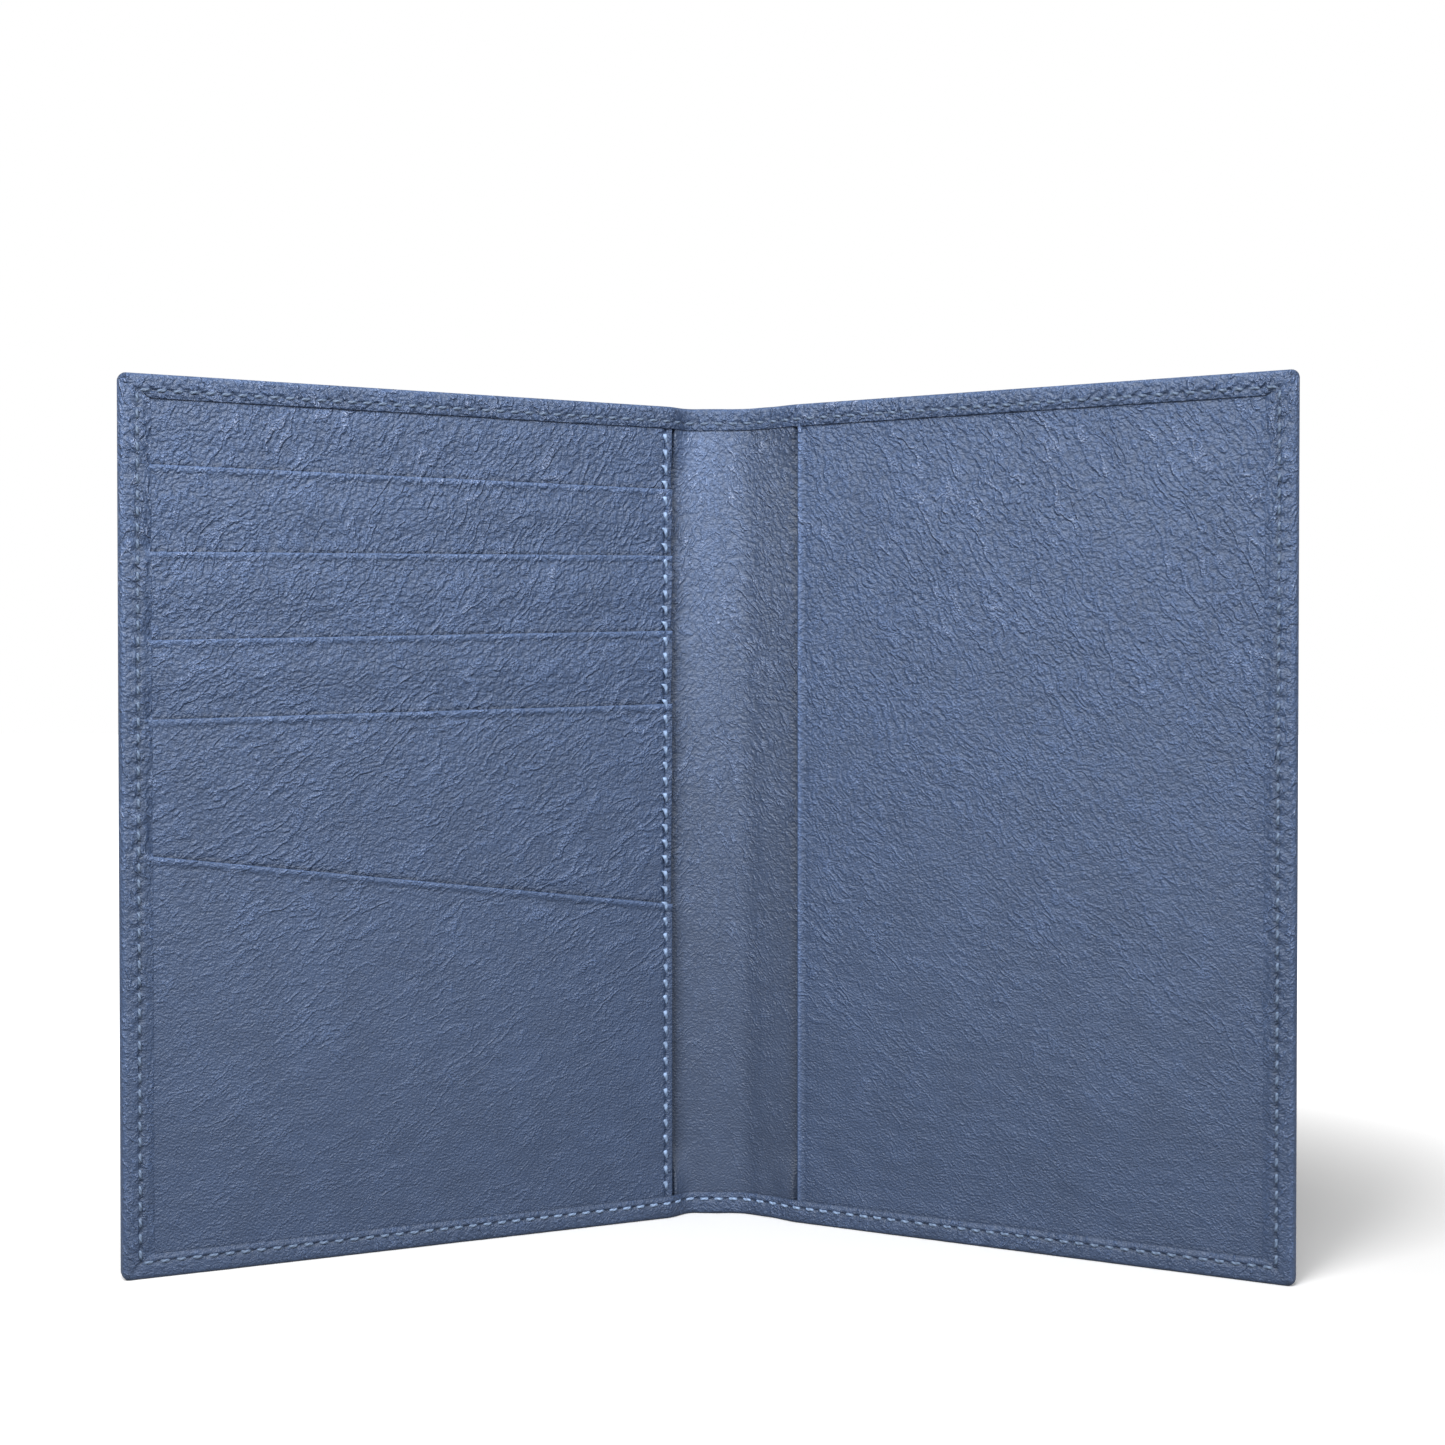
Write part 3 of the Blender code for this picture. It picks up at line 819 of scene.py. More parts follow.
def build_leaf(name, top, next_top, tuck, material, seed):
    """One leaf: proud at its own edge, then settling behind the next leaf's edge."""

    def low(s):
        return next_top(s) - tuck

    def front(s, z):
        down = top(s) - z
        w = leaf_level(down, top(s) - next_top(s))
        free = free_part(s, z)
        w = w - rolled_edge(down, free)
        w = w - 0.05 * MM * hump(down, 5 * MM, 4 * MM) * free
        return w + panel_seam_dip(s, z)

    # Painted highlight on each leaf's edge, painted shade along the lips and just over the next leaf's edge.
    def dye(s, z):
        own = edge_painted_light(top(s) - z) if name != "card_panel_header" else lip_painted_shade(s, z)
        return opening_painted_shade(z - next_top(s)) * own

    ends = np.array([PANEL_EDGE, PANEL_END])
    z_lines = fractions(PANEL_MESH, float(np.max(top(ends) - low(ends))))
    return panel_sheet(name, z_lines, low, top, front, material, seed, dye)


def panel_sheet(name, z_lines, low, top, front, material, seed, dye):
    """One leather sheet of the card panel, sewn along the panel's free edge."""
    thick = constant(LEAF_THICK)
    s_lines = panel_lines(0.6 * MM)
    return sheet_solid(name, LEFT, s_lines, z_lines, low, top, front, thick, material, seed, 1.0, dye)


def build_card_panel(material):
    """Pairs of a piece and the frame's node that it stands for."""
    pieces = []
    tops = panel_tops()
    names = ["panel_header"] + ["slot_leaf_%d" % (i + 1) for i in range(len(SLOT_EDGES))]
    for i, name in enumerate(names):
        tuck = POCKET_TUCK if i == len(names) - 1 else LEAF_TUCK
        leaf = build_leaf("card_" + name, tops[i], tops[i + 1], tuck, material, LEAF_SEED + i)
        pieces.append((leaf, name))
    pieces.append((build_slanted_pocket(material), "slanted_pocket"))
    pieces.append((build_backing(material), "panel_backing"))
    return pieces


def build_slanted_pocket(material):
    """The lower pocket: it stands a little proud of the panel where nothing holds it."""
    top = edge_height(POCKET_EDGE)

    def front(s, z):
        w = LEAF_OUTER - rolled_edge(top(s) - z, free_part(s, z))
        w = w - 0.3 * MM * within_lips(s, z, 20 * MM) * ease(s, PANEL_EDGE + 2 * MM, PANEL_EDGE + 22 * MM)
        return w + panel_seam_dip(s, z)

    # Painted highlight on the pocket's edge and painted shade along the lips.
    def dye(s, z):
        return edge_painted_light(top(s) - z) * lip_painted_shade(s, z)

    low = constant(PANEL_MARGIN)
    z_lines = fractions(PANEL_MESH, HEIGHT - POCKET_EDGE[0] * MM - PANEL_MARGIN)
    return panel_sheet("card_slanted_pocket", z_lines, low, top, front, material, POCKET_SEED, dye)


def build_backing(material):
    """The leather behind the slots, full height."""
    step = 1.5 * MM
    s_lines = lines(PANEL_EDGE, PANEL_END, step)
    z_lines = fractions(step, HEIGHT - 2 * PANEL_MARGIN)
    low, high = constant(PANEL_MARGIN), constant(HEIGHT - PANEL_MARGIN)
    front, thick = constant(BACKING_FRONT), constant(BACKING_THICK)
    name = "card_panel_backing"
    return sheet_solid(name, LEFT, s_lines, z_lines, low, high, front, thick, material, BACKING_SEED, 0.3)


def build_slot_cloth(index, material):
    """Woven cloth behind one leaf, as the frame places it."""
    top = edge_height(SLOT_EDGES[index])
    deep = -index * CLOTH_STEP
    rim = 0.05 * MM

    def front(s, z):
        return CLOTH_LEVEL + (deep - CLOTH_LEVEL) * ease(top(s) - z, CLOTH_FLAT, CLOTH_SETTLED)

    def low(s):
        return top(s) - CLOTH_DEPTH

    def high(s):
        return top(s) - CLOTH_START

    s_lines = lines(PANEL_EDGE + CLOTH_SIDE, PANEL_END - CLOTH_SIDE, 2.0 * MM, rim)
    z_lines = fractions(0.8 * MM, CLOTH_DEPTH - CLOTH_START, rim)
    name = "pocket_cloth_%d" % (index + 1)
    thick = constant(CLOTH_THICK)
    seed = CLOTH_SEED + index
    return sheet_solid(name, LEFT, s_lines, z_lines, low, high, front, thick, material, seed, relief=0.0)


def build_flap(material):
    """Passport sleeve: a hemmed free edge, slightly crowned between its seams."""
    hem_end = FLAP_EDGE + FLAP_HEM

    def front(s, z):
        crown = within_lips(s, z, 24 * MM) * ease(s, FLAP_EDGE, FLAP_EDGE + 30 * MM)
        ridge = hump(s, FLAP_EDGE + 0.5 * MM, 0.4 * MM) - 0.35 * hump(s, FLAP_EDGE + 1.5 * MM, 0.5 * MM)
        hem = ease(s, hem_end - 0.6 * MM, hem_end + 0.6 * MM) * within_lips(s, z, 3 * MM)
        return FLAP_FRONT + (0.07 * hem - 0.35 * crown - 0.34 * ridge) * MM

    def thick(s, z):
        single = ease(s, hem_end - 0.2 * MM, hem_end + 0.3 * MM)
        return FLAP_HEM_THICK + (FLAP_THICK - FLAP_HEM_THICK) * single

    # Painted highlight on the sleeve's folded edge, painted shade along the lips.
    def dye(s, z):
        return lip_painted_shade(s, z) * (1 + 0.6 * hump(s, FLAP_EDGE + 0.55 * MM, 0.35 * MM))

    low, high = constant(PANEL_MARGIN), constant(HEIGHT - PANEL_MARGIN)
    close = np.concatenate([hem_end + np.arange(-6, 7) * 0.1 * MM, FLAP_EDGE + np.arange(1, 15) * 0.15 * MM])
    s_lines = lines(FLAP_EDGE, PANEL_END, 0.75 * MM, 0.475 * MM, extra=close)
    z_lines = fractions(0.45 * MM, HEIGHT - 2 * PANEL_MARGIN, 0.22 * MM)
    name = "passport_sleeve"
    seed = SLEEVE_SEED
    return sheet_solid(name, RIGHT, s_lines, z_lines, low, high, front, thick, material, seed, 1.2, dye)


def build_lining(side, material):
    """Lining from the middle of the spine under one cover's panel."""
    shown_end = 19.0 * MM
    near = np.arange(0.0, shown_end, 0.35 * MM)
    s_lines = np.concatenate([near, np.linspace(shown_end, PANEL_END, 26)])
    s, z = np.meshgrid(s_lines, np.linspace(PANEL_MARGIN, HEIGHT - PANEL_MARGIN, 300), indexing="ij")
    under = ease(s, HALF_SPINE + 1.6 * MM, HALF_SPINE + 2.2 * MM) * (side == LEFT)
    rise = 0.9 * sizes().ripple * ripple(side * s, z, LINING_SEED) * ease(s, 0.0, 1.5 * MM) * (1 - under)
    edge = free_edge(side)
    beside = edge - 0.6 * MM
    to_lip = np.minimum(z, HEIGHT - z) - sizes().flat_lip
    lifted = (1 - ease(to_lip, 0.3 * MM, 9 * MM)) * (1 - ease(s, edge - 0.7 * MM, edge - 0.1 * MM))
    lift = np.minimum(lip_front(side, s) + LIP_OVER - LINING_FRONT, 0.0) * lifted
    dent = 0.2 * MM * hump(s, beside, 0.6 * MM) * (1 - lifted)
    depth = LINING_FRONT - np.maximum(rise, -0.05 * MM) * 0.8 + dent + lift
    front = place(side, s, depth, z).reshape(-1, 3)
    back = place(side, s, LINING_FRONT + LINING_THICK, z).reshape(-1, 3)
    rows, columns = s.shape
    faces = grid_faces(rows, columns, flip=side == RIGHT)
    faces += grid_faces(rows, columns, first=s.size, flip=side == LEFT)
    index = np.arange(s.size).reshape(rows, columns)
    for rim in (index[:, 0], index[-1, :], index[::-1, -1]):
        for a, b in zip(rim[:-1].tolist(), rim[1:].tolist()):
            quad = [a, b, b + s.size, a + s.size]
            faces.append(quad if side == LEFT else quad[::-1])
    grain = np.stack([side * s, z], axis=-1).reshape(-1, 2)
    grain = np.concatenate([grain, grain + BACK_MAP])
    # Painted highlight on the spine, growing towards its top.
    painted_sheen = hump(side * s, -1.5 * MM, 6 * MM) * ease(z, 0.4 * HEIGHT, HEIGHT)
    # Painted shade beside the free edge of the card panel or sleeve, and along the lips.
    painted_tone = (1 - 0.3 * hump(s, beside, 0.8 * MM)) * lip_painted_shade(s, z) * (1 + 0.45 * painted_sheen)
    # The right half is painted a little darker from the crease on: painted shade.
    if side == RIGHT:
        painted_tone = painted_tone * (1 - 0.12 * ease(s, HALF_SPINE - 0.5 * MM, HALF_SPINE + 2 * MM))
    painted_tone = np.concatenate([painted_tone.reshape(-1), np.ones(s.size)])
    name = "lining_%s_half" % WORD[side]
    return make_piece(name, np.concatenate([front, back]), faces, grain, material, dye=painted_tone)


# ----------------------------------------------------------------- materials


def node(tree, kind, inputs=(), **values):
    """A new node. inputs pairs the sockets with a number, a colour, a vector or an output to link."""
    made = tree.nodes.new(kind)
    for key, value in values.items():
        setattr(made, key, value)
    for socket, value in inputs:
        if isinstance(value, bpy.types.NodeSocket):
            tree.links.new(value, made.inputs[socket])
        else:
            made.inputs[socket].default_value = value
    return made


def link(tree, out, into):
    tree.links.new(out, into)


def maths(tree, operation, *values, clamp=False):
    return node(tree, "ShaderNodeMath", enumerate(values), operation=operation, use_clamp=clamp).outputs[0]


def vector_maths(tree, operation, first, second):
    if isinstance(second, float):
        second = (second, second, second)
    return node(tree, "ShaderNodeVectorMath", ((0, first), (1, second)), operation=operation).outputs[0]


def times(tree, first, second):
    return maths(tree, "MULTIPLY", first, second)


def scaled(tree, vector, amount):
    return node(tree, "ShaderNodeVectorMath", ((0, vector), ("Scale", amount)), operation="SCALE").outputs[0]


def axis_of(tree, vector, axis):
    return node(tree, "ShaderNodeSeparateXYZ", ((0, vector),)).outputs[axis]


def noise(tree, vector, scale, detail=2.0, roughness=0.5):
    inputs = (("Vector", vector), ("Scale", scale), ("Detail", detail), ("Roughness", roughness))
    return node(tree, "ShaderNodeTexNoise", inputs)


def span(tree, value, low, high, to_low=0.0, to_high=1.0):
    """The value, eased from one range onto another."""
    ranges = (("From Min", low), ("From Max", high), ("To Min", to_low), ("To Max", to_high))
    inputs = (("Value", value),) + ranges
    return node(tree, "ShaderNodeMapRange", inputs, interpolation_type="SMOOTHSTEP").outputs["Result"]


def new_group(name, ins, outs):
    group = bpy.data.node_groups.new(name, "ShaderNodeTree")
    for label, kind, value in ins:
        socket = group.interface.new_socket(name=label, in_out="INPUT", socket_type=kind)
        if value is not None:
            socket.default_value = value
    for label, kind in outs:
        group.interface.new_socket(name=label, in_out="OUTPUT", socket_type=kind)
    return group, group.nodes.new("NodeGroupInput"), group.nodes.new("NodeGroupOutput")


def stroke_field(tree, vector, slant, stretch):
    """Short raised dashes and a few longer thin ridges, all running at a slant."""
    inputs = (("Vector", vector), ("Angle", times(tree, slant, -1.0)))
    turn = node(tree, "ShaderNodeVectorRotate", inputs, rotation_type="Z_AXIS")
    long_way = node(tree, "ShaderNodeCombineXYZ", (("X", stretch), ("Y", 1.0), ("Z", 1.0)))
    along = vector_maths(tree, "MULTIPLY", turn.outputs["Vector"], long_way.outputs[0])
    inputs = (("Vector", along), ("Scale", 0.8), ("Smoothness", 0.2))
    cells = node(tree, "ShaderNodeTexVoronoi", inputs, voronoi_dimensions="2D", feature="SMOOTH_F1")
    dashes = maths(tree, "POWER", span(tree, cells.outputs["Distance"], 0.04, 0.46, 1.0, 0.0), 1.7)
    chance = axis_of(tree, cells.outputs["Color"], "X")
    dashes = times(tree, dashes, span(tree, chance, 0.25, 0.6, 0.15, 1.0))
    found = noise(tree, vector_maths(tree, "MULTIPLY", along, (0.6, 1.0, 1.0)), 0.42, 1.5, 0.5)
    off = maths(tree, "ABSOLUTE", maths(tree, "SUBTRACT", found.outputs["Fac"], 0.5))
    ridge = maths(tree, "POWER", span(tree, off, 0.0, 0.085, 1.0, 0.0), 1.3)
    broken = noise(tree, vector_maths(tree, "ADD", along, (37.0, 11.0, 5.0)), 0.4, 0.0)
    long_ridge = times(tree, ridge, span(tree, broken.outputs["Fac"], 0.42, 0.56))
    return maths(tree, "MAXIMUM", times(tree, dashes, 0.85), long_ridge)


def swing(tree, source, reach):
    """A shift to either side, in millimetres, from a noise's colour."""
    return vector_maths(tree, "MULTIPLY", vector_maths(tree, "SUBTRACT", source.outputs["Color"], 0.5), reach)


def leather_grain_group():
    """Fine pebbles crossed by short slanting ridges. Vector is in metres along the hide."""
    ins = [
        ("Vector", "NodeSocketVector", None),
        ("Slant", "NodeSocketFloat", 0.9),
        ("Other Slant", "NodeSocketFloat", 0.9),
        ("Turn", "NodeSocketFloat", 0.0),
        ("Fineness", "NodeSocketFloat", 1.0),
        ("Stroke Stretch", "NodeSocketFloat", 0.55),
        ("Calm", "NodeSocketFloat", 0.3),
    ]
    outs = [("Height", "NodeSocketFloat"), ("Crest", "NodeSocketFloat"), ("Mottle", "NodeSocketFloat")]
    group, enter, leave = new_group("Leather Grain", ins, outs)
    metres = enter.outputs["Vector"]
    mm = vector_maths(group, "MULTIPLY", metres, 1000.0)
    wander = swing(group, noise(group, mm, 0.09, 1.0), 4.0)
    hooks = swing(group, noise(group, mm, 0.55, 0.0), 0.85)
    warped = vector_maths(group, "ADD", mm, vector_maths(group, "ADD", wander, hooks))
    fine = scaled(group, warped, enter.outputs["Fineness"])
    stretch = enter.outputs["Stroke Stretch"]
    first = stroke_field(group, fine, enter.outputs["Slant"], stretch)
    other = stroke_field(group, fine, enter.outputs["Other Slant"], stretch)
    inputs = (("Factor", enter.outputs["Turn"]), ("A", first), ("B", other))
    blend = node(group, "ShaderNodeMix", inputs, data_type="FLOAT")
    patches = noise(group, mm, 0.06, 2.0)
    patch = span(group, patches.outputs["Fac"], 0.34, 0.6, 0.35, 1.0)
    height_up = axis_of(group, metres, "Y")
    busy = span(group, height_up, *CALM_FADE)
    least = enter.outputs["Calm"]
    calm = maths(group, "MULTIPLY_ADD", maths(group, "SUBTRACT", 1.0, least), busy, least)
    lively = times(group, patch, calm)
    tooth = noise(group, mm, 2.9, 2.0)
    beads = span(group, tooth.outputs["Fac"], 0.32, 0.6, 0.5, 1.15)
    wrinkle = times(group, times(group, blend.outputs["Result"], beads), lively)
    inputs = (("Vector", warped), ("Scale", 1.25))
    pebbles = node(group, "ShaderNodeTexVoronoi", inputs, voronoi_dimensions="2D")
    dome = span(group, pebbles.outputs["Distance"], 0.1, 0.75, 1.0, 0.0)
    height = maths(group, "MULTIPLY_ADD", dome, times(group, calm, 0.32), wrinkle)
    height = maths(group, "MULTIPLY_ADD", tooth.outputs["Fac"], 0.62, height)
    link(group, height, leave.inputs["Height"])
    link(group, wrinkle, leave.inputs["Crest"])
    mottle = noise(group, mm, 0.12, 3.0, 0.6)
    link(group, mottle.outputs["Fac"], leave.inputs["Mottle"])
    return group


def weave_group():
    """Plain weave of fine threads. Vector is in metres."""
    ins = [("Vector", "NodeSocketVector", None), ("Pitch", "NodeSocketFloat", 0.00035)]
    outs = [("Height", "NodeSocketFloat"), ("Shade", "NodeSocketFloat")]
    group, enter, leave = new_group("Pocket Weave", ins, outs)
    turns = scaled(group, enter.outputs["Vector"], maths(group, "DIVIDE", math.pi, enter.outputs["Pitch"]))
    across = maths(group, "SINE", axis_of(group, turns, "X"))
    up = maths(group, "SINE", axis_of(group, turns, "Y"))
    warp = maths(group, "ABSOLUTE", across)
    weft = maths(group, "ABSOLUTE", up)
    over = maths(group, "GREATER_THAN", times(group, across, up), 0.0)
    mixed = maths(group, "MULTIPLY_ADD", over, maths(group, "SUBTRACT", warp, weft), weft)
    for label in ("Height", "Shade"):
        link(group, mixed, leave.inputs[label])
    return group


def plain_material(name, color, roughness):
    material = bpy.data.materials.new(name)
    material.use_nodes = True
    shader = material.node_tree.nodes["Principled BSDF"]
    shader.inputs["Roughness"].default_value = roughness
    shader.inputs["Base Color"].default_value = (*color, 1.0)
    return material, material.node_tree, shader


def tinted(tree, color, low, high, factor):
    """A colour from low to high times the given one, mixed by factor."""
    dark = (*[c * low for c in color], 1.0)
    light = (*[c * high for c in color], 1.0)
    return mixed_colour(tree, factor, dark, light)


def mixed_colour(tree, factor, first, second):
    inputs = (("Factor", factor), ("A", first), ("B", second))
    return node(tree, "ShaderNodeMix", inputs, data_type="RGBA").outputs["Result"]


def hide_map(tree):
    """Places on the texture map, in metres."""
    return node(tree, "ShaderNodeUVMap", uv_map="Hide").outputs["UV"]


def painted_shading_on(tree):
    """How much painted light or shade there is at each point, 1 being none."""
    return node(tree, "ShaderNodeAttribute", attribute_name="Dye").outputs["Fac"]


def bump(tree, shader, height, distance):
    made = node(tree, "ShaderNodeBump", (("Distance", distance), ("Height", height)))
    link(tree, made.outputs["Normal"], shader.inputs["Normal"])


def leather(name, color, slant, other, turn_by, fineness=1.0, stretch=0.45, calm=0.18, depth=0.00042):
    """Satin leather whose ridges turn from one slant to another along an axis.

    turn_by is (axis of the texture map, where the turn starts, where it ends), in metres.
    """
    material, tree, shader = plain_material(name, color, 0.5)
    grain = node(tree, "ShaderNodeGroup")
    grain.node_tree = bpy.data.node_groups.get("Leather Grain") or leather_grain_group()
    labels = ("Slant", "Other Slant", "Fineness", "Stroke Stretch", "Calm")
    for label, value in zip(labels, (slant, other, fineness, stretch, calm)):
        grain.inputs[label].default_value = value
    where = hide_map(tree)
    link(tree, where, grain.inputs["Vector"])
    axis, start, end = turn_by
    link(tree, span(tree, axis_of(tree, where, axis), start, end), grain.inputs["Turn"])
    height = grain.outputs["Height"]
    # Painted shade in the grain's hollows and painted light on its tops, from the grain's height.
    painted_relief_shading = tinted(tree, color, 0.66, 1.2, span(tree, height, 0.2, 1.15))
    # Pale crests: a painted highlight along the grain's ridges.
    painted_sheen = maths(tree, "MULTIPLY", maths(tree, "POWER", grain.outputs["Crest"], 2.6), 0.8, clamp=True)
    pale = mixed_colour(tree, painted_sheen, painted_relief_shading, (*[1.5 * c + 0.14 for c in color], 1.0))
    mottle = span(tree, grain.outputs["Mottle"], 0.3, 0.7, 0.93, 1.07)
    shade = scaled(tree, pale, times(tree, mottle, painted_shading_on(tree)))
    link(tree, shade, shader.inputs["Base Color"])
    link(tree, span(tree, grain.outputs["Crest"], 0.0, 0.8, 0.5, 0.3), shader.inputs["Roughness"])
    shader.inputs["Specular IOR Level"].default_value = 0.8
    shader.inputs["Specular Tint"].default_value = (0.9, 0.95, 1.0, 1.0)
    bump(tree, shader, height, depth)
    return material


def thread_material():
    """Twisted thread: slanting plies along each stitch."""
    color = colours().thread
    material, tree, shader = plain_material("holder_thread", color, 0.6)
    where = hide_map(tree)
    along, around = PLY_TURNS
    twist = times(tree, axis_of(tree, where, "Y"), around)
    ply = maths(tree, "MULTIPLY_ADD", axis_of(tree, where, "X"), along, twist)
    wave = maths(tree, "MULTIPLY_ADD", maths(tree, "SINE", ply), 0.5, 0.5)
    # Plies painted lighter on their crowns and darker between them, painted shade, times the thread's
    # per-vertex painted light and shade.
    link(tree, scaled(tree, tinted(tree, color, 0.7, 1.15, wave), painted_shading_on(tree)), shader.inputs["Base Color"])
    bump(tree, shader, wave, 0.00004)
    return material


def cloth_material():
    color = colours().cloth
    material, tree, shader = plain_material("holder_pocket_cloth", color, 0.85)
    weave = node(tree, "ShaderNodeGroup")
    weave.node_tree = weave_group()
    link(tree, hide_map(tree), weave.inputs["Vector"])
    link(tree, tinted(tree, color, 0.6, 1.3, weave.outputs["Shade"]), shader.inputs["Base Color"])
    bump(tree, shader, weave.outputs["Height"], 0.00005)
    return material


def board_material():
    """Grey pressed board with short fibres. It has no texture map, so it uses object space."""
    color = colours().board
    material, tree, shader = plain_material("holder_board", color, 0.9)
    where = node(tree, "ShaderNodeTexCoord")
    stretched = vector_maths(tree, "MULTIPLY", where.outputs["Object"], (900.0, 900.0, 2600.0))
    fibres = noise(tree, stretched, 1.0, 3.0)
    specks = span(tree, fibres.outputs["Fac"], 0.35, 0.7)
    link(tree, tinted(tree, color, 0.75, 1.15, specks), shader.inputs["Base Color"])
    bump(tree, shader, specks, 0.00004)
    return material


# ----------------------------------------------------------------- operators


def join_halves(left, right, cad_name):
    """Make two halves one to the eye, bake their transforms and hide the frame's parts that they stand for.
    """
    match_halves(left, right)
    for side, piece in ((LEFT, left), (RIGHT, right)):
        bend_over_crease(piece, side)
        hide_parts("%s_%s" % (cad_name, WORD[side]), cad_name + "_spine")


class HOLDER_OT_outer_leather(bpy.types.Operator):
    """Build the outer leather in two halves, bent at the creases"""

    bl_idname = "holder.outer_leather"
    bl_label = "Outer Leather"

    def execute(self, context):
        material = leather(
            "holder_outer_leather", colours().leather, 1.2, 1.9, ("X", -0.01, 0.01),
            fineness=1.15, stretch=0.75, calm=0.4, depth=0.00038)
        join_halves(hide_half(LEFT, material), hide_half(RIGHT, material), "outer_leather")
        return {"FINISHED"}


class HOLDER_OT_lining(bpy.types.Operator):
    """Build the lining in two halves, bent at the creases"""

    bl_idname = "holder.lining"
    bl_label = "Lining"

    def execute(self, context):
        material = leather(
            "holder_lining", colours().lining, 1.15, 2.0, ("X", -0.004, 0.003),
            fineness=1.7, stretch=0.4, calm=0.2, depth=0.0003)
        join_halves(build_lining(LEFT, material), build_lining(RIGHT, material), "lining")
        return {"FINISHED"}


class HOLDER_OT_card_panel(bpy.types.Operator):
    """Build the header, the slot leaves, the slanted pocket and their backing"""

    bl_idname = "holder.card_panel"
    bl_label = "Card Panel"

    def execute(self, context):
        material = leather("holder_card_leather", colours().inner, 0.6, 1.05, ("Y", 0.085, 0.125))
        for piece, cad_node in build_card_panel(material):
            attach(piece, COVER[LEFT])
            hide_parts(cad_node)
        return {"FINISHED"}


class HOLDER_OT_pocket_cloth(bpy.types.Operator):
    """Build the woven cloth behind each slot leaf"""

    bl_idname = "holder.pocket_cloth"
    bl_label = "Pocket Cloth"

    def execute(self, context):
        material = cloth_material()
        for index in range(len(SLOT_EDGES)):
            piece = build_slot_cloth(index, material)
            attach(piece, COVER[LEFT])
            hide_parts("slot_lining_%d" % (index + 1))
        return {"FINISHED"}


class HOLDER_OT_sleeve(bpy.types.Operator):
    """Build the passport sleeve of the right cover"""

    bl_idname = "holder.sleeve"
    bl_label = "Passport Sleeve"

    def execute(self, context):
        material = leather("holder_sleeve_leather", colours().inner, 2.3, 2.08, ("Y", 0.04, 0.12), 1.15)
        piece = build_flap(material)
        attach(piece, COVER[RIGHT])
        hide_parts("sleeve_flap")
        return {"FINISHED"}


class HOLDER_OT_boards(bpy.types.Operator):
    """Give the stiffening boards their pressed grey finish"""

    bl_idname = "holder.boards"
    bl_label = "Stiffening Boards"

    def execute(self, context):
        material = board_material()
        for word in WORD.values():
            board = frame["nodes"]["stiffener_" + word]
            board.data.materials.clear()
            board.data.materials.append(material)
        return {"FINISHED"}


class HOLDER_OT_stitching(bpy.types.Operator):
    """Sew the covers' edges inside and outside, and the card panel's free edge"""

    bl_idname = "holder.stitching"
    bl_label = "Stitching"

    def execute(self, context):
        material = thread_material()
        p = sizes()
        along, towards = seam_at(p.flat_seam)
        count = 2 * FLAT_STITCHES + FORE_STITCHES
        for side in (LEFT, RIGHT):
            word = WORD[side]
            inside = lambda s: (lip_front(side, s), -1.0)
            outside = lambda s: (hide_back(s), 1.0)
            for kind, surface in (("bobbin", inside), ("needle", outside)):
                name = "%s_stitches_%s" % (kind, word)
                piece = stitches(name, side, along, count, towards, surface, 0.08 * MM, material)
                bend_over_crease(piece, side)
                own = ["%s_thread_%s" % (kind, word)]
                spine = ["%s_thread_spine_%s" % (kind, end) for end in ("top", "bottom")]
                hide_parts(*(own + spine))
        low, pitch = panel_seam_run()
        line = PANEL_EDGE + p.panel_seam
        up = lambda phase: (np.full(phase.shape, line), low + phase * pitch)
        level = lambda s: (np.full(s.shape, LEAF_OUTER + 0.06 * MM), -1.0)
        sideways = lambda phase: (np.full(phase.shape, -1.0), np.zeros(phase.shape))
        # The panel seam's thread is painted at least a fifth lighter: a painted highlight.
        seam = stitches(
            "panel_seam_stitches", LEFT, up, p.panel_stitches, sideways, level, -0.42 * MM, material,
            taper=1.2, stout=1.35, least_painted_shading=1.2)
        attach(seam, COVER[LEFT])
        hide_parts("panel_seam_thread")
        return {"FINISHED"}


def area_light(name, spot, aim, size, power):
    """A round soft light at a spot, turned to an aim."""
    data = bpy.data.lights.new(name, "AREA")
    data.shape = "DISK"
    data.size = size
    data.energy = power
    obj = bpy.data.objects.new(name, data)
    bpy.context.collection.objects.link(obj)
    obj.location = spot
    direction = np.array(aim) - np.array(spot)
    flat = math.hypot(direction[0], direction[1])
    tilt = math.pi / 2 + math.atan2(direction[2], flat)
    obj.rotation_euler = (tilt, 0.0, math.atan2(-direction[0], direction[1]))


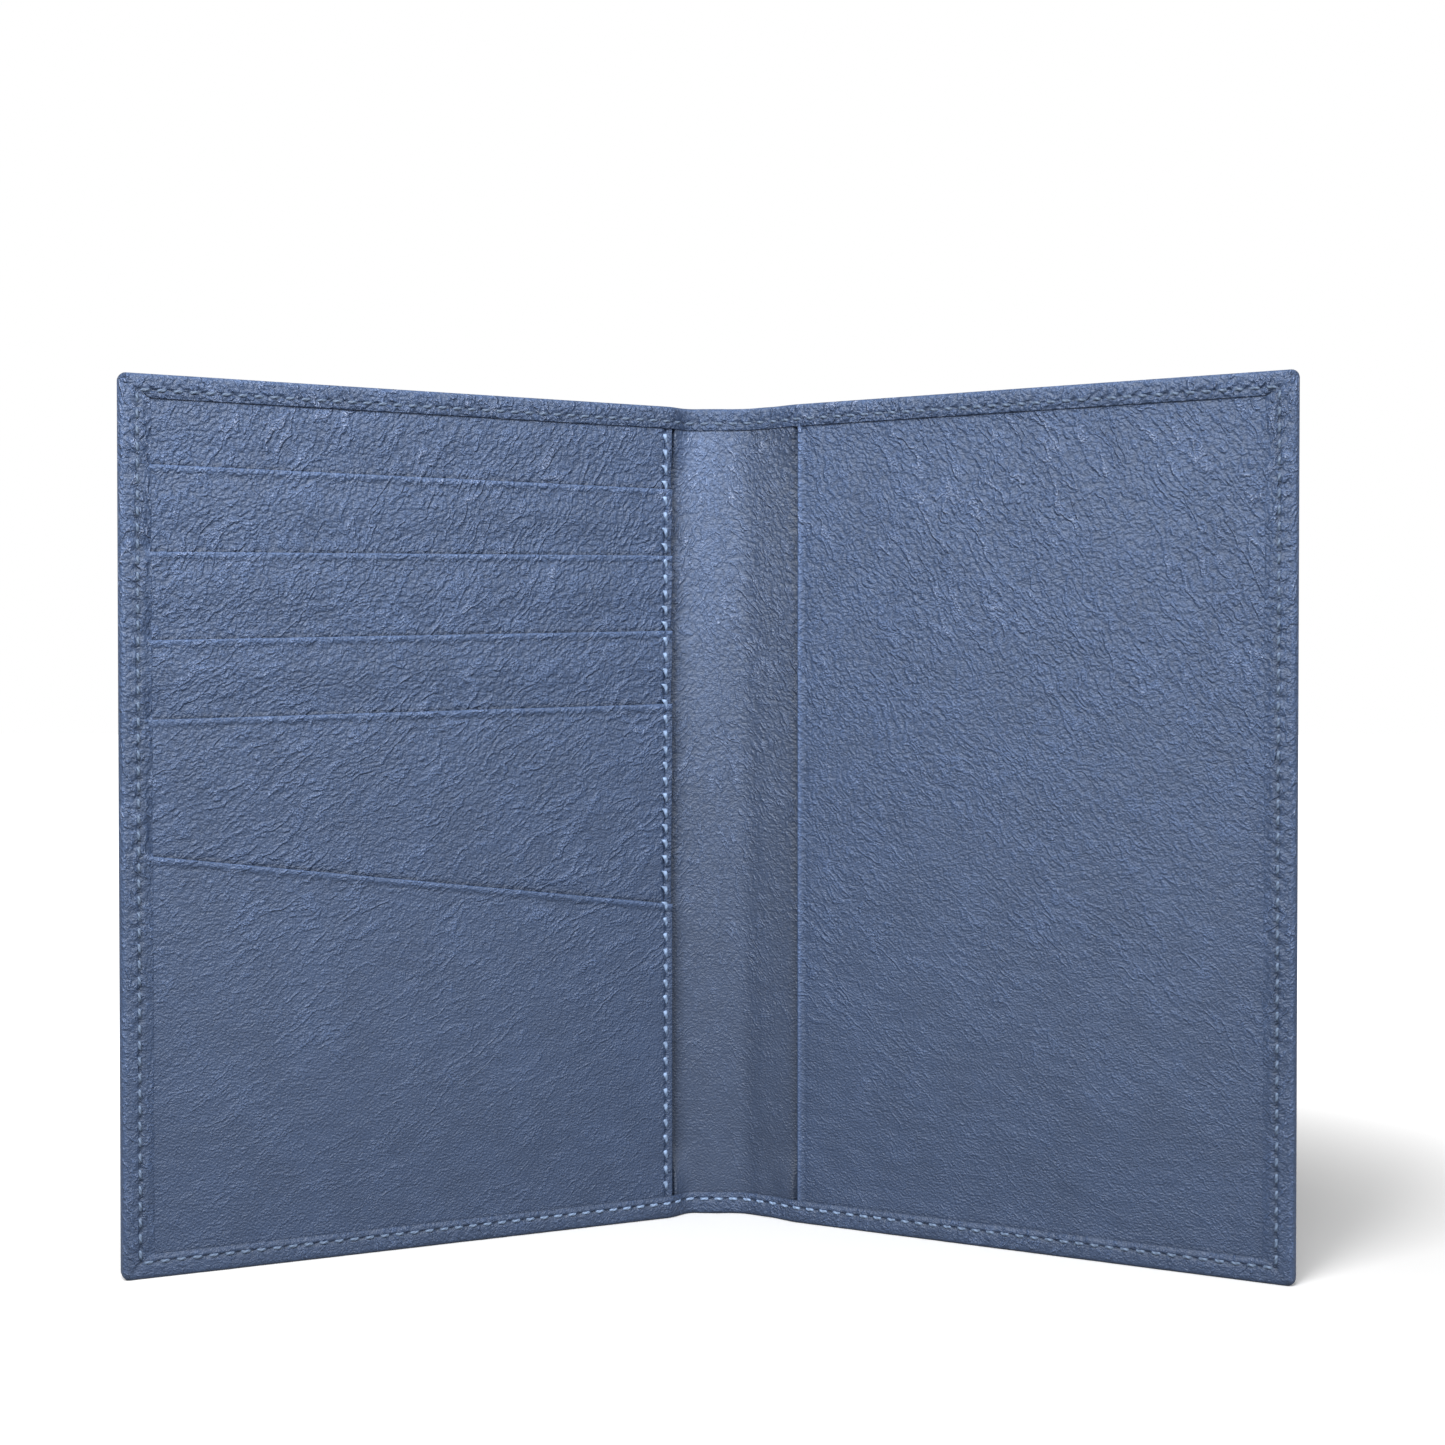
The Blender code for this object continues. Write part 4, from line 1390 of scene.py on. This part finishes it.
class HOLDER_OT_stage(bpy.types.Operator):
    """Set the floor, the surrounding white, the lights and the camera"""

    bl_idname = "holder.stage"
    bl_label = "Stage"

    def execute(self, context):
        stage = context.scene.holder_stage
        reach = 4.0
        corners = [(-reach, -reach, 0), (reach, -reach, 0), (reach, reach, 0), (-reach, reach, 0)]
        mesh = bpy.data.meshes.new("studio_floor")
        mesh.from_pydata(corners, [], [(0, 1, 2, 3)])
        floor = bpy.data.objects.new("studio_floor", mesh)
        material, tree, shader = plain_material("studio_floor", stage.floor, 0.9)
        shader.inputs["Specular IOR Level"].default_value = 0.1
        self.white_floor(tree, shader)
        mesh.materials.append(material)
        context.collection.objects.link(floor)
        world = bpy.data.worlds.new("studio_white")
        context.scene.world = world
        world.use_nodes = True
        self.white_world(world.node_tree, stage.sky)
        area_light("key_light", (-0.15, -0.29, 0.33), (0.0, 0.0, 0.07), 0.2, stage.key_power)
        area_light("fill_light", (0.36, -0.32, 0.33), (0.0, 0.0, 0.07), 0.26, stage.fill_power)
        area_light("top_light", (0.0, -0.24, 0.33), (0.0, 0.0, 0.11), 0.16, stage.top_power)
        camera = bpy.data.cameras.new("holder_camera")
        camera.lens = stage.lens
        camera.sensor_width = 36.0
        camera.clip_start = 0.01
        eye = bpy.data.objects.new("holder_camera", camera)
        eye.location = stage.camera_place
        eye.rotation_euler = (math.pi / 2 + stage.camera_tilt, 0.0, stage.camera_turn)
        context.collection.objects.link(eye)
        context.scene.camera = eye
        context.scene.view_settings.view_transform = "Standard"
        return {"FINISHED"}

    def white_floor(self, tree, shader):
        """Make the floor's far parts glow white to the camera, a painted light, so that it meets the white
        round it.
        """
        where = node(tree, "ShaderNodeTexCoord")
        off = vector_maths(tree, "SUBTRACT", where.outputs["Object"], FLOOR_CENTRE)
        away = node(tree, "ShaderNodeVectorMath", ((0, off),), operation="LENGTH")
        far = span(tree, away.outputs["Value"], *FLOOR_FADE)
        paths = node(tree, "ShaderNodeLightPath")
        seen = paths.outputs["Is Camera Ray"]
        link(tree, times(tree, far, seen), shader.inputs["Emission Color"])
        pale = shader.inputs["Base Color"].default_value[0]
        shown = maths(tree, "MULTIPLY_ADD", seen, pale - FLOOR_BOUNCE, FLOOR_BOUNCE)
        link(tree, shown, shader.inputs["Base Color"])
        shader.inputs["Emission Strength"].default_value = 1.0

    def white_world(self, tree, strength):
        """White to the camera, and softer as a light."""
        background = tree.nodes["Background"]
        background.inputs["Color"].default_value = (1.0, 1.0, 1.0, 1.0)
        paths = node(tree, "ShaderNodeLightPath")
        level = maths(tree, "MULTIPLY_ADD", paths.outputs["Is Camera Ray"], 1.0 - strength, strength)
        link(tree, level, background.inputs["Strength"])


class HOLDER_PT_panel(bpy.types.Panel):
    """Sizes, colours and building steps of the holder"""

    bl_label = "Passport Holder"
    bl_idname = "HOLDER_PT_panel"
    bl_space_type = "VIEW_3D"
    bl_region_type = "UI"
    bl_category = "Passport Holder"

    def draw(self, context):
        for group in (context.scene.holder_sizes, context.scene.holder_colours, context.scene.holder_stage):
            for name in group.__annotations__:
                self.layout.prop(group, name)
        for operator in OPERATORS:
            self.layout.operator(operator.bl_idname)


OPERATORS = (
    HOLDER_OT_stage,
    HOLDER_OT_outer_leather,
    HOLDER_OT_lining,
    HOLDER_OT_card_panel,
    HOLDER_OT_pocket_cloth,
    HOLDER_OT_sleeve,
    HOLDER_OT_boards,
    HOLDER_OT_stitching,
)
CLASSES = (HolderSizes, HolderColours, HolderStage) + OPERATORS + (HOLDER_PT_panel,)


def register():
    for cls in CLASSES:
        bpy.utils.register_class(cls)
    bpy.types.Scene.holder_sizes = PointerProperty(type=HolderSizes)
    bpy.types.Scene.holder_colours = PointerProperty(type=HolderColours)
    bpy.types.Scene.holder_stage = PointerProperty(type=HolderStage)


def unregister():
    del bpy.types.Scene.holder_stage
    del bpy.types.Scene.holder_colours
    del bpy.types.Scene.holder_sizes
    for cls in reversed(CLASSES):
        bpy.utils.unregister_class(cls)


def main():
    register()
    bpy.ops.holder.stage()
    bpy.ops.holder.outer_leather()
    bpy.ops.holder.lining()
    bpy.ops.holder.card_panel()
    bpy.ops.holder.pocket_cloth()
    bpy.ops.holder.sleeve()
    bpy.ops.holder.boards()
    bpy.ops.holder.stitching()
    bpy.context.view_layer.update()


if __name__ == "__main__":
    main()
